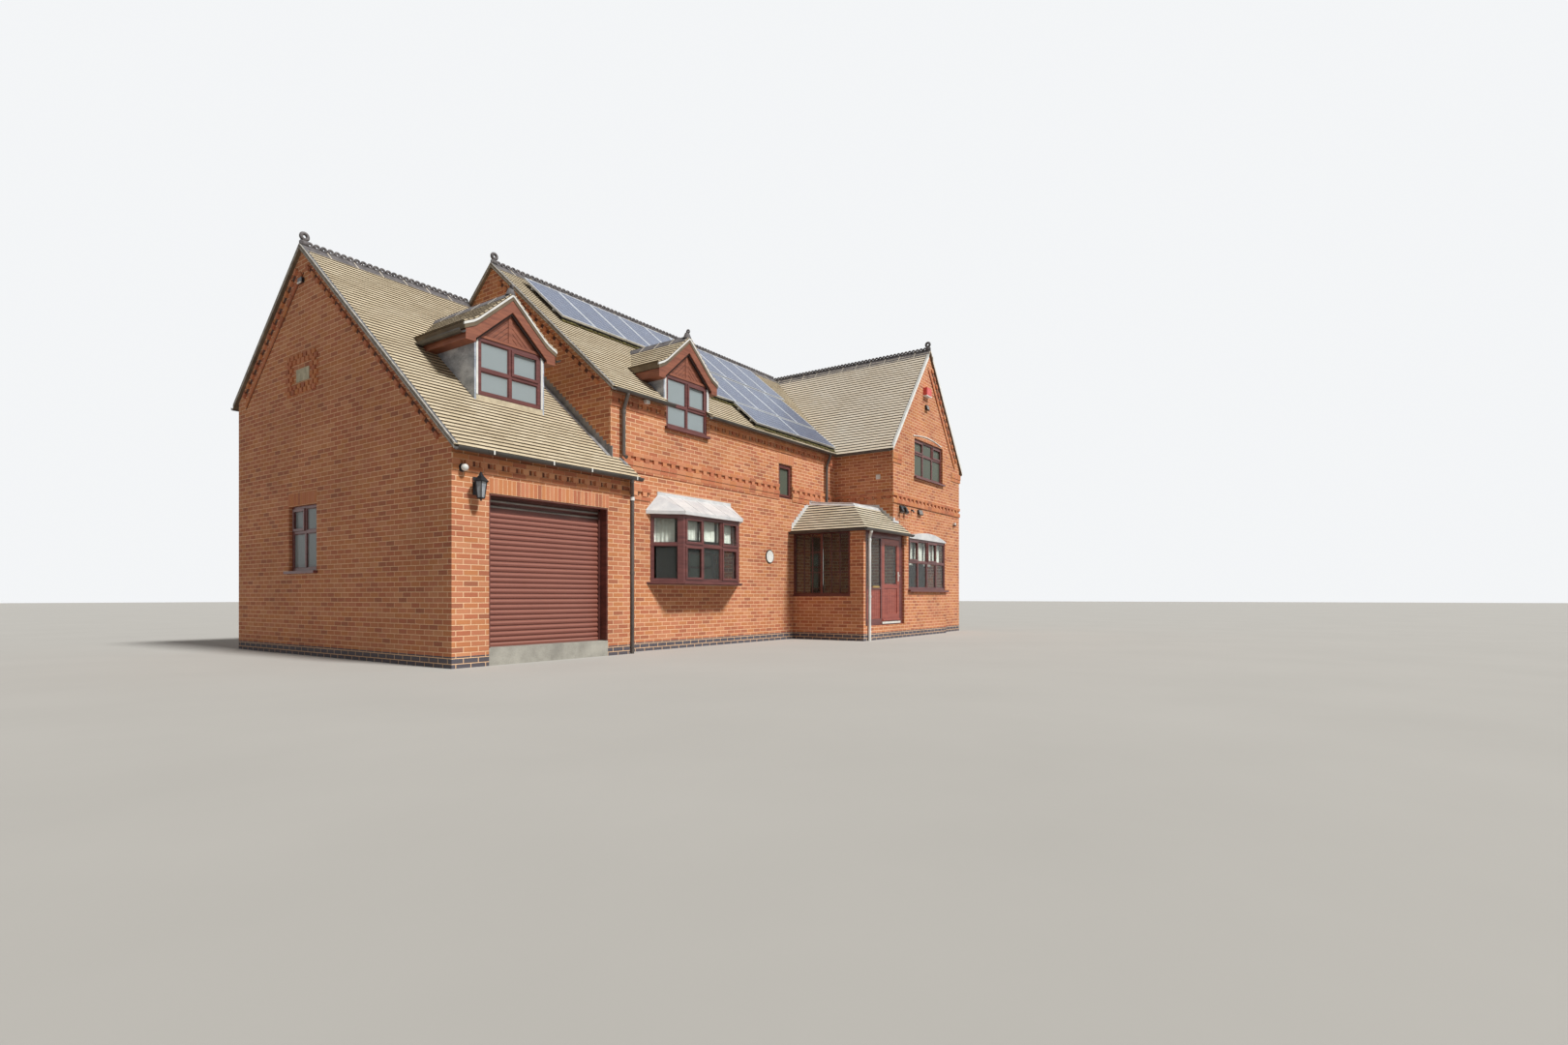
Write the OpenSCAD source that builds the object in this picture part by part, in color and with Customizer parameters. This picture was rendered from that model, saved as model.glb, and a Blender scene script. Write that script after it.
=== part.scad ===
// Detached brick house: main range, lower garage range, cross wing and hipped porch.
// Lengths are millimetres. Work coordinates run along the front (x), to the back (y) and
// up (z) from the main range's left front corner at garage floor level.

/* [Levels] */
// lowest ground the walls run down to
ground_low = -250; // [-600:10:0]
// finished ground floor of the house
ground_floor_z = 150; // [0:10:400]
// finished first floor
first_floor_z = 2650; // [2400:10:3000]
// thickness of each built floor
floor_t = 230; // [150:10:400]

/* [Walls] */
// cavity wall thickness
wall_t = 280; // [200:10:400]
// single brick thickness in the porch and under the flat bay
brick_t = 103; // [90:1:120]
// how far each band of brick stands out
band_out = 28; // [10:1:60]
// how far the course under a band stands out
band_step = 14; // [5:1:30]
// height of one brick course
course = 75; // [65:1:85]
// clearance where two pieces meet
seat = 0.3; // [0.1:0.1:1]

/* [Main range] */
// front to back depth of the main range
main_d = 6620; // [5000:10:9000]
// length of the front between the garage and the wing
main_w = 7490; // [5000:10:10000]
// height of the ridge
main_ridge_z = 7200; // [6000:10:9000]
// height of the eaves at the tile edge
main_eave_z = 4279; // [3500:1:6000]
// how far tiles pass the wall at the eaves
eave_out = 110; // [50:5:400]
// how far tiles pass the wall at a verge
verge_out = 50; // [20:5:200]
// tile and batten thickness measured upright
tile_t = 60; // [40:1:100]
// rafter and lining thickness measured upright
rafter_t = 150; // [80:5:300]

/* [Garage range] */
// length to the left of the main range
garage_w = 3080; // [2500:10:5000]
// how far its front stands forward of the main front
garage_out = 290; // [100:10:1000]
// length of front wall returned past the main corner
garage_return = 170; // [0:10:500]
// height of its front eaves
garage_eave_z = 2741; // [2300:1:3500]
// how far its tiles pass the front wall
garage_eave_out = 140; // [50:5:400]
// width of the pier left of the vehicle opening
garage_pier_l = 565; // [400:5:900]
// width of the pier right of the vehicle opening
garage_pier_r = 320; // [200:5:600]
// height of the vehicle opening
garage_door_h = 2175; // [1900:5:2500]

/* [Cross wing] */
// width of the wing
wing_w = 4240; // [3000:10:6000]
// how far it stands forward of the main front
wing_out = 1625; // [500:5:3000]
// how far its tiles pass the side walls
wing_eave_out = 120; // [50:5:400]

/* [Porch] */
// how far the left side stands left of the wing
porch_left = 1890; // [1500:10:2600]
// front face ahead of the main front
porch_out = 1840; // [1700:5:2500]
// eaves height at the tile edge
porch_eave_z = 2230; // [2000:5:2500]
// height of the lead top's front edge
porch_top_z = 2830; // [2500:5:3100]
// rise of the lead top from there to the main wall
porch_top_rise = 126; // [20:1:250]
// how far its tiles pass the piers
porch_eave_out = 100; // [50:5:200]
// corner pier depth from the front
porch_pier_d = 335; // [200:5:500]
// how far the front runs on past the wing's corner, to the flat bay
porch_right = 395; // [350:5:700]
// width of the right pier
porch_pier_w = 225; // [200:5:450]
// door leaf width
leaf_w = 900; // [750:5:1000]
// door leaf height
leaf_h = 1900; // [1800:5:2100]
// left edge of the door leaf, measured left of the wing
leaf_left = 910; // [905:5:1200]
// running gap around the door leaf
leaf_gap = 8; // [7:0.5:10]
// radius of a hinge knuckle
hinge_r = 9; // [6:0.5:12]
// radius of a hinge pin
pin_r = 5; // [3:0.5:6]
// thickness of leaf and frames
joinery_t = 60; // [40:1:90]

/* [Windows] */
// face width of a frame bar
bar_w = 58; // [35:1:90]
// depth of a frame bar
bar_d = 70; // [50:1:100]
// glass unit thickness
glass_t = 24; // [6:1:30]
// frame set back from the brick face
reveal = 50; // [0:5:150]
// sill thickness
sill_t = 45; // [25:1:80]
// sill nose past the wall
sill_out = 70; // [30:1:120]
// width of the wing's windows
wing_win_w = 1820; // [1200:10:2400]
// width of the landing window
landing_w = 540; // [400:10:900]
// sill and head of the windows on the ground floor
low_win = [950, 2150];
// sill and head of the windows on the first floor
high_win = [2950, 3850];

/* [Canted bay] */
// left edge on the wall
bay_x0 = 950; // [500:10:1500]
// right edge on the wall
bay_x1 = 3430; // [3000:10:4000]
// projection, with splays at 45 degrees
bay_out = 420; // [300:10:700]
// top of the sill board
bay_sill_z = 985; // [600:5:1200]
// underside of the canopy
bay_head_z = 2215; // [2000:5:2400]
// where the canopy meets the wall
bay_top_z = 2580; // [2400:5:2800]

/* [Flat bay] */
// width of the brick base
flat_w = 2365; // [1800:5:2800]
// top of the brick base
flat_sill_z = 890; // [700:5:1100]
// springing of the curved canopy
flat_head_z = 2150; // [2000:5:2400]
// rise of the curved canopy
flat_rise = 180; // [80:5:300]

/* [Dormers] */
// window width in a dormer
dormer_win_w = 1150; // [900:10:1500]
// cheek thickness, seen as a strip beside the window
dormer_cheek = 65; // [40:1:120]
// half span of the dormer roof
dormer_half = 840; // [600:10:1100]
// ridge above the window head
dormer_rise = 830; // [600:5:1000]
// roof foot above the window head
dormer_foot = 150; // [80:5:300]
// how far its tiles pass the front
dormer_verge = 70; // [30:5:150]
// width of the flared foot
flare_w = 190; // [100:5:300]
// slope of the flared foot
flare_slope = 0.48; // [0.3:0.01:0.8]
// garage dormer: centre from the middle of the garage range
d1_offset = 95; // [-300:5:300]
// garage dormer: face behind the main front
d1_back = 720; // [500:5:1000]
// garage dormer: sill and head heights
d1_window = [3830, 4715];
// main dormer: centre from the main corner
d2_x = 1940; // [1200:5:3000]
// main dormer: sill and head heights
d2_window = [3880, 4850];
// barge board face height
barge_h = 190; // [120:5:250]
// barge board thickness
barge_t = 28; // [20:1:40]

/* [Roof fittings] */
// half round gutter width
gutter_w = 112; // [100:1:150]
// downpipe diameter
pipe_d = 68; // [60:1:80]
// ridge tile width across
ridge_w = 240; // [180:5:300]
// crest height over the ridge tile
crest_h = 110; // [60:5:200]
// finial height over the ridge
finial_h = 260; // [180:5:400]
// finial ring radius
finial_r = 68; // [40:1:90]
// solar panel pitch along the roof
panel_w = 820; // [700:5:1100]
// solar panel length up the slope
panel_l = 1520; // [1200:5:1800]
// panel thickness
panel_t = 40; // [30:1:50]
// rail height under the panels
rail_h = 85; // [50:5:150]
// upper row: left end, top edge before the ridge, margin to the valley
row_1 = [400, 350, 300];
// middle row: the same
row_2 = [3400, 1560, 300];
// lower row of lying panels: the same
row_3 = [4080, 2690, 10];

/* [Hidden] */
eps = 1;
wall_drop = tile_t + seat;
big = 20000;
slope = (main_ridge_z - main_eave_z) / (main_d / 2 + eave_out);
ridge_y = main_d / 2;
g_front = -garage_out;
garage_door_x0 = -garage_w + garage_pier_l;
garage_door_x1 = -garage_pier_r;
g_eave_y = -garage_out - garage_eave_out;
g_ridge_y = (main_ridge_z - garage_eave_z + slope * (ridge_y + g_eave_y)) / (2 * slope);
g_ridge_z = garage_eave_z + slope * (g_ridge_y - g_eave_y);
wing_x0 = main_w;
wing_x1 = main_w + wing_w;
wing_ridge_x = main_w + wing_w / 2;
porch_x0 = wing_x0 - porch_left;
porch_x1 = wing_x0 + porch_right;
leaf_x0 = wing_x0 - leaf_left;
flat_x1 = porch_x1 + flat_w;
d1 = [-garage_w / 2 + d1_offset, d1_back, d1_window[0], d1_window[1]];
d2 = [d2_x, 0, d2_window[0], d2_window[1]];
wing_front = -wing_out;
porch_front = -porch_out;
w_eave_x = wing_x0 - wing_eave_out;
back_eave_y = main_d + eave_out;
dormer_half_w = dormer_win_w / 2;
leaf_z0 = ground_floor_z + leaf_gap;
leaf_x1 = leaf_x0 + leaf_w;
leaf_y0 = porch_front + reveal;
pipe_seat = pipe_d / 2 + seat;
hinge_x = leaf_x0 - leaf_gap / 2;
hinge_y = leaf_y0 + joinery_t + hinge_r;
verge_x = -garage_w - verge_out;
left_edge = -garage_w - sill_out;
right_edge = wing_x1 + wing_eave_out + gutter_w;
front_edge = porch_front - porch_eave_out - gutter_w;
back_edge = back_eave_y + gutter_w;
shift = [-(left_edge + right_edge) / 2, -(front_edge + back_edge) / 2, -ground_low];

// a box given by its ranges along x, y and z
module block(x, y, z)
    translate([x[0], y[0], z[0]]) cube([x[1] - x[0], y[1] - y[0], z[1] - z[0]]);

// a profile drawn in y and z, extruded along x
module along_x(x)
    translate([x[0], 0, 0]) rotate([90, 0, 90]) linear_extrude(x[1] - x[0]) children();

// a profile drawn in x and z, extruded along y
module along_y(y)
    translate([0, y[1], 0]) rotate([90, 0, 0]) linear_extrude(y[1] - y[0]) children();

// height of the main tile surface over y
function main_z(y) = main_ridge_z - slope * abs(y - ridge_y);
// height of the garage tile surface over y
function garage_z(y) = y < g_ridge_y ? garage_eave_z + slope * (y - g_eave_y) : main_z(y);
// where the two front slopes reach a height
function main_y(z) = ridge_y - (main_ridge_z - z) / slope;
function garage_y(z) = g_eave_y + (z - garage_eave_z) / slope;
// height of the wing tile surface over x
wing_slope = (main_ridge_z - main_eave_z) / (wing_w / 2 + wing_eave_out);
function wing_z(x) = main_ridge_z - wing_slope * abs(x - wing_ridge_x);

// roof outlines: everything between two limits and below the tile surface less a drop,
// with the ridge point only where it lies between the limits
module outline(a, b, za, zb, ridge, ridge_z, drop, low)
    polygon(concat([[a, low], [a, za - drop]],
        a < ridge && b > ridge ? [[ridge, ridge_z - drop]] : [], [[b, zb - drop], [b, low]]));
module main_outline(y0, y1, drop, low)
    outline(y0, y1, main_z(y0), main_z(y1), ridge_y, main_ridge_z, drop, low);
module garage_outline(y0, y1, drop, low)
    outline(y0, y1, garage_z(y0), garage_z(y1), g_ridge_y, g_ridge_z, drop, low);
module wing_outline(x0, x1, drop, low)
    outline(x0, x1, wing_z(x0), wing_z(x1), wing_ridge_x, main_ridge_z, drop, low);

// tile layer and the rafters inside the walls, as one shell
module main_tiles(x)
    along_x(x) difference() {
        main_outline(-eave_out, back_eave_y, 0, 0);
        main_outline(-eave_out - eps, back_eave_y + eps, tile_t, -eps);
    }
module main_shell(x, xin) {
    main_tiles(x);
    along_x(xin) difference() {
        main_outline(wall_t + seat, main_d - wall_t - seat, tile_t - eps, 0);
        main_outline(wall_t - eps, main_d - wall_t + eps, tile_t + rafter_t, -eps);
    }
}
// one layer of the garage front slope up to y1, cut upright at the eaves
module garage_front_layer(x, y1)
    along_x(x) polygon([[g_eave_y, garage_eave_z - tile_t], [g_eave_y, garage_eave_z],
        [y1, garage_z(y1)], [y1, garage_z(y1) - tile_t]]);
module garage_shell() {
    along_x([verge_x, -verge_out]) polygon([[g_eave_y, garage_eave_z - tile_t],
        [g_eave_y, garage_eave_z], [g_ridge_y, g_ridge_z], [back_eave_y, main_eave_z],
        [back_eave_y, main_eave_z - tile_t], [g_ridge_y, g_ridge_z - tile_t]]);
    // beside the main gable the front slope runs up under the main verge tiles
    along_x([-verge_out - eps, -seat]) polygon([[g_eave_y, garage_eave_z - tile_t],
        [g_eave_y, garage_eave_z], [under_verge_y, garage_z(under_verge_y)],
        [under_verge_y, garage_z(under_verge_y) - tile_t]]);
    // the front slope laps past the main corner
    garage_front_layer([-verge_out - eps, garage_lap], -seat);
    along_x([-garage_w + wall_t + seat, -verge_out]) polygon([
        [rafter_y0, garage_z(rafter_y0) - tile_t - rafter_t],
        [rafter_y0, garage_z(rafter_y0) - tile_t + eps], [g_ridge_y, g_ridge_z - tile_t + eps],
        [rafter_y1, main_z(rafter_y1) - tile_t + eps],
        [rafter_y1, main_z(rafter_y1) - tile_t - rafter_t],
        [g_ridge_y, g_ridge_z - tile_t - rafter_t]]);
}
// the front slope stops under the main verge tiles, clear of their underside
under_verge_y = g_ridge_y - (tile_t + seat) / (2 * slope);
rafter_y0 = seat;
rafter_y1 = main_d - wall_t - seat;
garage_lap = garage_return + 2 * verge_out;
module wing_shell(y, yin) {
    along_y(y) difference() {
        wing_outline(w_eave_x, wing_x1 + wing_eave_out, 0, 0);
        wing_outline(w_eave_x - eps, wing_x1 + wing_eave_out + eps, tile_t, -eps);
    }
    along_y(yin) difference() {
        wing_outline(wing_x0 + wall_t + seat, wing_x1 - wall_t - seat, tile_t - eps, 0);
        wing_outline(wing_x0 + wall_t - eps, wing_x1 - wall_t + eps, tile_t + rafter_t, -eps);
    }
}
// plan of the main roof: it tapers between the two valleys up to the wing's ridge
module valley_plan()
    polygon([[-main_w, -eave_out - eps], [w_eave_x, -eave_out - eps], [w_eave_x, -eave_out],
        [wing_ridge_x, ridge_y], [w_eave_x, back_eave_y], [w_eave_x, back_eave_y + eps],
        [-main_w, back_eave_y + eps]]);

// a framed window in the x z plane: outer frame, mullions at the fractions, one transom
module frame_bars(w, h, mullions, transom) {
    difference() {
        square([w, h]);
        translate([bar_w, bar_w]) square([w - 2 * bar_w, h - 2 * bar_w]);
    }
    for (m = mullions) translate([m * w - bar_w / 2, bar_w]) square([bar_w, h - 2 * bar_w]);
    if (transom > 0) translate([bar_w, transom * h - bar_w / 2]) square([w - 2 * bar_w, bar_w]);
}
module frame_front(x, y, z, mullions, transom)
    translate([x[0], 0, z[0]]) along_y([y, y + bar_d])
        frame_bars(x[1] - x[0], z[1] - z[0], mullions, transom);
module panes_front(x, y, z, mullions, transom)
    translate([x[0], 0, z[0]]) along_y([y + (bar_d - glass_t) / 2, y + (bar_d + glass_t) / 2])
        difference() {
            translate([bar_w, bar_w]) square([x[1] - x[0] - 2 * bar_w, z[1] - z[0] - 2 * bar_w]);
            frame_bars(x[1] - x[0], z[1] - z[0], mullions, transom);
        }

// windows that face the front or back: x range, frame front y, z range, mullions, transom
function span(c, w) = [c - w / 2, c + w / 2];
wing_up = [span(wing_ridge_x, wing_win_w), wing_front + reveal, [3780, 4760], [1 / 3, 2 / 3], 0.62];
landing = [span(porch_x0 - landing_w / 2 - 50, landing_w), reveal, [2960, 3740], [], 0];
dormer_1 = [[d1[0] - dormer_half_w, d1[0] + dormer_half_w], d1[1] + 10, [d1[2], d1[3]], [0.5], 0.45];
dormer_2 = [[d2[0] - dormer_half_w, d2[0] + dormer_half_w], d2[1] + 10, [d2[2], d2[3]], [0.5], 0.45];
back_y = main_d - reveal - bar_d;
back_low = [[span(-0.42 * garage_w, 1200), back_y, low_win, [0.5], 0.6],
    [span(0.28 * main_w, wing_win_w), back_y, low_win, [1 / 3, 2 / 3], 0.6],
    [span(0.68 * main_w, 1600), back_y, low_win, [0.5], 0.6],
    [span(wing_ridge_x, wing_win_w), back_y, low_win, [1 / 3, 2 / 3], 0.6]];
back_high = [[span(0.28 * main_w, 1000), back_y, high_win, [0.5], 0],
    [span(0.68 * main_w, 1000), back_y, high_win, [0.5], 0],
    [span(wing_ridge_x, wing_win_w), back_y, wing_up[2], [1 / 3, 2 / 3], 0.62]];
plain_windows = concat([wing_up, landing, dormer_1, dormer_2], back_low, back_high);
// side windows: wall face x, y range, z range, mullions, transom
gable_win = [-garage_w, span(g_ridge_y, 1000), [1150, 2250], [0.5], 0.6];
right_win = [wing_x1, span(ridge_y - wall_t, 1200), low_win, [0.5], 0.6];

module opening_of(w, y)
    block([w[0][0], w[0][1]], y, [w[2][0], w[2][1]]);

module ground_floor() color([0.62, 0.6, 0.57]) translate(shift) {
    block([-garage_w + wall_t, 0], [0, main_d - wall_t], [ground_low, 0]);
    block([garage_door_x0, garage_door_x1], [g_front, eps], [ground_low, 0]);
    block([wall_t, wing_x0 + wall_t], [wall_t, main_d - wall_t], [ground_low, ground_floor_z]);
    block([wing_x0 + wall_t, wing_x1 - wall_t], [wing_front + wall_t, main_d - wall_t],
        [ground_low, ground_floor_z]);
    block([porch_x0 + brick_t, wing_x0], [leaf_y0 + joinery_t, 0], [ground_low, ground_floor_z]);
}

module first_floor() color([0.66, 0.55, 0.4]) translate(shift) difference() {
    union() {
        block([-garage_w + wall_t, 0], [0, main_d - wall_t],
            [first_floor_z - floor_t, first_floor_z]);
        block([wall_t, wing_x0 + wall_t], [wall_t, main_d - wall_t],
            [first_floor_z - floor_t, first_floor_z]);
        block([wing_x0 + wall_t, wing_x1 - wall_t], [wing_front + wall_t, main_d - wall_t],
            [first_floor_z - floor_t, first_floor_z]);
    }
    // the floor stops under the rafters at the garage front
    along_x([-garage_w - eps, eps]) difference() {
        translate([-eps, first_floor_z - floor_t]) square([main_d, big / 10]);
        garage_outline(-eps, main_d, tile_t + rafter_t + seat, 0);
    }
}

module garage_front_wall() color([0.72, 0.36, 0.22]) translate(shift) {
    difference() {
        along_x([-garage_w + wall_t, garage_return])
            garage_outline(g_front, 0, wall_drop, ground_low);
        block([garage_door_x0, garage_door_x1], [g_front - eps, eps], [ground_low - eps, garage_door_h]);
    }
    for (b = garage_bands) {
        block([-garage_w + wall_t, garage_return + b[0]], [g_front - b[0], g_front], b[1]);
        block([garage_return, garage_return + b[0]], [g_front, -band_out], b[1]);
    }
}
// brick bands: how far out and z range of each; header bricks project between them
function bands(z, out, gap) = [[out, z], [band_out, [z[1] + gap, z[1] + gap + course]]];
garage_bands = bands([2435, 2435 + course], band_step, course);

module garage_left_wall() color([0.72, 0.36, 0.22]) translate(shift) difference() {
    along_x([-garage_w, -garage_w + wall_t]) garage_outline(g_front, main_d, wall_drop, ground_low);
    block([-garage_w - eps, -garage_w + wall_t + eps], gable_win[1], gable_win[2]);
    plaque_recess();
}

module main_left_gable() color([0.72, 0.36, 0.22]) translate(shift)
    along_x([0, wall_t]) main_outline(0, main_d - wall_t, wall_drop, ground_low);

module main_front_wall() color([0.72, 0.36, 0.22]) translate(shift) {
    difference() {
        union() {
            along_x([wall_t, dormer_2[0][0]]) main_outline(0, wall_t, wall_drop, ground_low);
            block(dormer_2[0], [0, wall_t], [ground_low, d2[2]]);
            along_x([dormer_2[0][1], wing_x0]) main_outline(0, wall_t, wall_drop, ground_low);
        }
        block([bay_x0 + bar_w, bay_x1 - bar_w], [-eps, wall_t + eps], [bay_sill_z, bay_head_z]);
        opening_of(landing, [-eps, wall_t + eps]);
        block(inner_door_x, [-eps, wall_t + eps], [ground_floor_z, inner_door_top]);
    }
    // the band between the storeys; its lowest courses stop at the porch roof
    block([garage_lap + 15, landing[0][0]], [-band_step, 0], low_band_z);
    block([landing[0][1], porch_edge_x + (low_band_z[0] - porch_eave_z) / slope - 20],
        [-band_step, 0], low_band_z);
    for (b = main_bands) {
        block([garage_lap + 15, landing[0][0]], [-b[0], 0], b[1]);
        block([landing[0][1], wing_x0], [-b[0], 0], b[1]);
    }
    for (b = eaves_bands) {
        block([0, dormer_2[0][0] - dormer_cheek], [-b[0], 0], b[1]);
        block([dormer_2[0][1] + dormer_cheek, wing_x0], [-b[0], 0], b[1]);
    }
    // the garage's band runs on to the canted bay's canopy
    for (b = garage_bands) block([garage_return + band_out, bay_x0], [-b[0], 0], b[1]);
}
inner_door_x = [6350, 7250];
inner_door_top = 2200;
low_band_z = [2915, 3025];
main_bands = bands([3025, 3110], band_out, course);
eaves_bands = bands([3990, 3990 + course], band_step, course);
wing_bands = bands([2990, 3090], band_out, course);
// corbelled kneelers under the wing's verge: how far out and z range
kneelers = [[band_step, [3965, 4060]], [band_out, [4060, 4200]]];
kneeler_l = [wing_x0 - 50, wing_x0 + 440];
kneeler_r = [wing_x1 - 600, wing_x1 + 50];

module back_wall() color([0.72, 0.36, 0.22]) translate(shift) difference() {
    along_x([-garage_w + wall_t, wing_x0]) main_outline(main_d - wall_t, main_d, wall_drop, ground_low);
    for (w = back_low) opening_of(w, [main_d - wall_t - eps, main_d + eps]);
    for (w = back_high) opening_of(w, [main_d - wall_t - eps, main_d + eps]);
}

module wing_left_wall() color([0.72, 0.36, 0.22]) translate(shift) {
    along_y([wing_front + wall_t, wall_t])
        wing_outline(wing_x0, wing_x0 + wall_t, wall_drop, ground_low);
    for (b = wing_bands) block([wing_x0 - b[0], wing_x0], [wing_front + wall_t, -band_out], b[1]);
}

module wing_front_wall() color([0.72, 0.36, 0.22]) translate(shift) {
    difference() {
        along_y([wing_front, wing_front + wall_t]) wing_outline(wing_x0, wing_x1, wall_drop, ground_low);
        opening_of(wing_up, [wing_front - eps, wing_front + wall_t + eps]);
        block([porch_x1, flat_x1 - brick_t], [wing_front - eps, wing_front + wall_t + eps],
            [flat_sill_z, flat_head_z]);
    }
    for (b = wing_bands) {
        block([wing_x0 - b[0], wing_x1], [wing_front - b[0], wing_front], b[1]);
        block([wing_x0 - b[0], wing_x0], [wing_front, wing_front + wall_t], b[1]);
    }
    for (k = kneelers, x = [kneeler_l, kneeler_r]) block(x, [wing_front - k[0], wing_front], k[1]);
}

module wing_right_wall() color([0.72, 0.36, 0.22]) translate(shift) difference() {
    along_y([wing_front + wall_t, main_d - wall_t])
        wing_outline(wing_x1 - wall_t, wing_x1, wall_drop, ground_low);
    block([wing_x1 - wall_t - eps, wing_x1 + eps], right_win[1], right_win[2]);
}

module wing_back_wall() color([0.72, 0.36, 0.22]) translate(shift) difference() {
    along_y([main_d - wall_t, main_d]) wing_outline(wing_x0, wing_x1, wall_drop, ground_low);
    for (w = [back_low[3], back_high[2]]) opening_of(w, [main_d - wall_t - eps, main_d + eps]);
}

// brick piers and dwarf wall that carry the porch
screen_sill_z = 750;
module porch_walls() color([0.72, 0.36, 0.22]) translate(shift) {
    block([porch_x0, porch_x0 + brick_t], [porch_front, porch_front + porch_pier_d],
        [ground_low, porch_wall_z]);
    block([porch_x0, porch_x0 + brick_t], [porch_front + porch_pier_d, 0],
        [ground_low, screen_sill_z]);
    block([porch_x1 - porch_pier_w, porch_x1], [porch_front, wing_front], [ground_low, porch_wall_z]);
    block([porch_x0 + brick_t, porch_x1 - porch_pier_w], [porch_front, leaf_y0 + joinery_t],
        [ground_low, step_z]);
}
porch_wall_z = porch_eave_z - 30;
step_z = ground_floor_z - course;

module flat_bay_base() color([0.72, 0.36, 0.22]) translate(shift) {
    block([porch_x1, flat_x1], [porch_front, wing_front], [ground_low, flat_sill_z]);
    block([flat_x1 - brick_t + 20, flat_x1], [porch_front, wing_front], [flat_sill_z, flat_head_z]);
}

module garage_roof() color([0.72, 0.66, 0.52]) translate(shift) difference() {
    garage_shell();
    block([d1[0] - dormer_half_w, d1[0] + dormer_half_w], [d1[1] + 10 + bar_d, garage_y(d1[3])],
        [first_floor_z, main_ridge_z]);
}

module main_roof() color([0.72, 0.66, 0.52]) translate(shift) difference() {
    intersection() {
        main_shell([-verge_out, wing_ridge_x], [wall_t, wing_ridge_x]);
        linear_extrude(main_ridge_z + eps) valley_plan();
    }
    block([d2[0] - dormer_half_w, d2[0] + dormer_half_w], [-big / 2, main_y(d2[3])], [0, big]);
}

module wing_roof() color([0.72, 0.66, 0.52]) translate(shift) difference() {
    wing_shell([wing_front - verge_out, main_d + verge_out],
        [wing_front + wall_t, main_d - wall_t]);
    linear_extrude(main_ridge_z + eps) valley_plan();
}

// hipped porch roof with a lead top that rises to the main wall
porch_run = (porch_top_z - porch_eave_z) / slope;
porch_wall_run = porch_run + porch_top_rise / slope;
porch_edge_x = porch_x0 - porch_eave_out;
porch_edge_y = porch_front - porch_eave_out;
porch_end_x = porch_x1 - 95;
module porch_roof() color([0.72, 0.66, 0.52]) translate(shift) difference() {
    porch_solid();
    translate([0, 0, -2 * tile_t]) porch_solid();
    block([wing_x0 - seat, big], [wing_front - seat, big], [0, big]);
}
module porch_solid() {
    polyhedron(
        points = [[porch_edge_x, porch_edge_y, porch_eave_z], [porch_end_x, porch_edge_y, porch_eave_z],
            [porch_end_x, -seat, porch_eave_z], [porch_edge_x, -seat, porch_eave_z],
            [porch_edge_x + porch_run, porch_edge_y + porch_run, porch_top_z],
            [porch_end_x, porch_edge_y + porch_run, porch_top_z],
            [porch_end_x, -seat, porch_top_z + porch_top_rise],
            [porch_edge_x + porch_wall_run, -seat, porch_top_z + porch_top_rise]],
        faces = [[0, 1, 2, 3], [4, 5, 1, 0], [5, 6, 2, 1], [6, 7, 3, 2], [7, 4, 0, 3],
            [7, 6, 5, 4]]);
    block([porch_edge_x, porch_end_x], [porch_edge_y, -seat], [porch_wall_z + seat, porch_eave_z]);
}

// dormer shell: roof, cheeks, boarded gable and boards, all cut to the roof they stand on
module host_cut(host)
    if (host == 1) along_x([-garage_w - big, big]) garage_outline(-big, big, -seat, -big);
    else along_x([-big, big]) main_outline(-big, big, -seat, -big);
// height of a dormer's tiles over the distance from its ridge, flatter at the flared foot
knee = dormer_half - flare_w;
dormer_slope = (dormer_rise - dormer_foot - flare_w * flare_slope) / knee;
function dormer_drop(u) = u < knee ? dormer_slope * u : dormer_slope * knee + flare_slope * (u - knee);
module dormer_outline(d, half, drop, low) {
    top = d[3] + dormer_rise - drop;
    side = half > knee ? [half, knee] : [half];
    polygon(concat([[d[0] - half, low]], [for (u = side) [d[0] - u, top - dormer_drop(u)]],
        [[d[0], top]], [for (i = [len(side) - 1:-1:0]) [d[0] + side[i], top - dormer_drop(side[i])]],
        [[d[0] + half, low]]));
}
dormer_tile = 110;
module dormer_roof(d, host) difference() {
    along_y([d[1] - dormer_verge, d[1] + 3000]) difference() {
        dormer_outline(d, dormer_half, 0, 0);
        dormer_outline(d, dormer_half + eps, dormer_tile, -eps);
    }
    host_cut(host);
}
module dormer_roofs() color([0.72, 0.66, 0.52]) translate(shift) {
    dormer_roof(d1, 1);
    dormer_roof(d2, 2);
}
module dormer_cheek_pair(d, host) difference() {
    along_y([d[1], d[1] + 2000]) difference() {
        dormer_outline(d, dormer_half_w + dormer_cheek, dormer_tile + seat, 0);
        translate([d[0] - dormer_half_w, -eps]) square([dormer_win_w, big]);
    }
    host_cut(host);
}
module dormer_cheeks() color([0.42, 0.43, 0.45]) translate(shift) {
    dormer_cheek_pair(d1, 1);
    dormer_cheek_pair(d2, 2);
}
module dormer_gable(d)
    along_y([d[1] + 10, d[1] + 10 + bar_d]) intersection() {
        dormer_outline(d, dormer_half_w, dormer_tile + seat, d[3]);
        translate([d[0] - dormer_half_w, d[3]]) square([dormer_win_w, big]);
    }
module dormer_gables() color([0.55, 0.27, 0.18]) translate(shift) {
    dormer_gable(d1);
    dormer_gable(d2);
}
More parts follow.
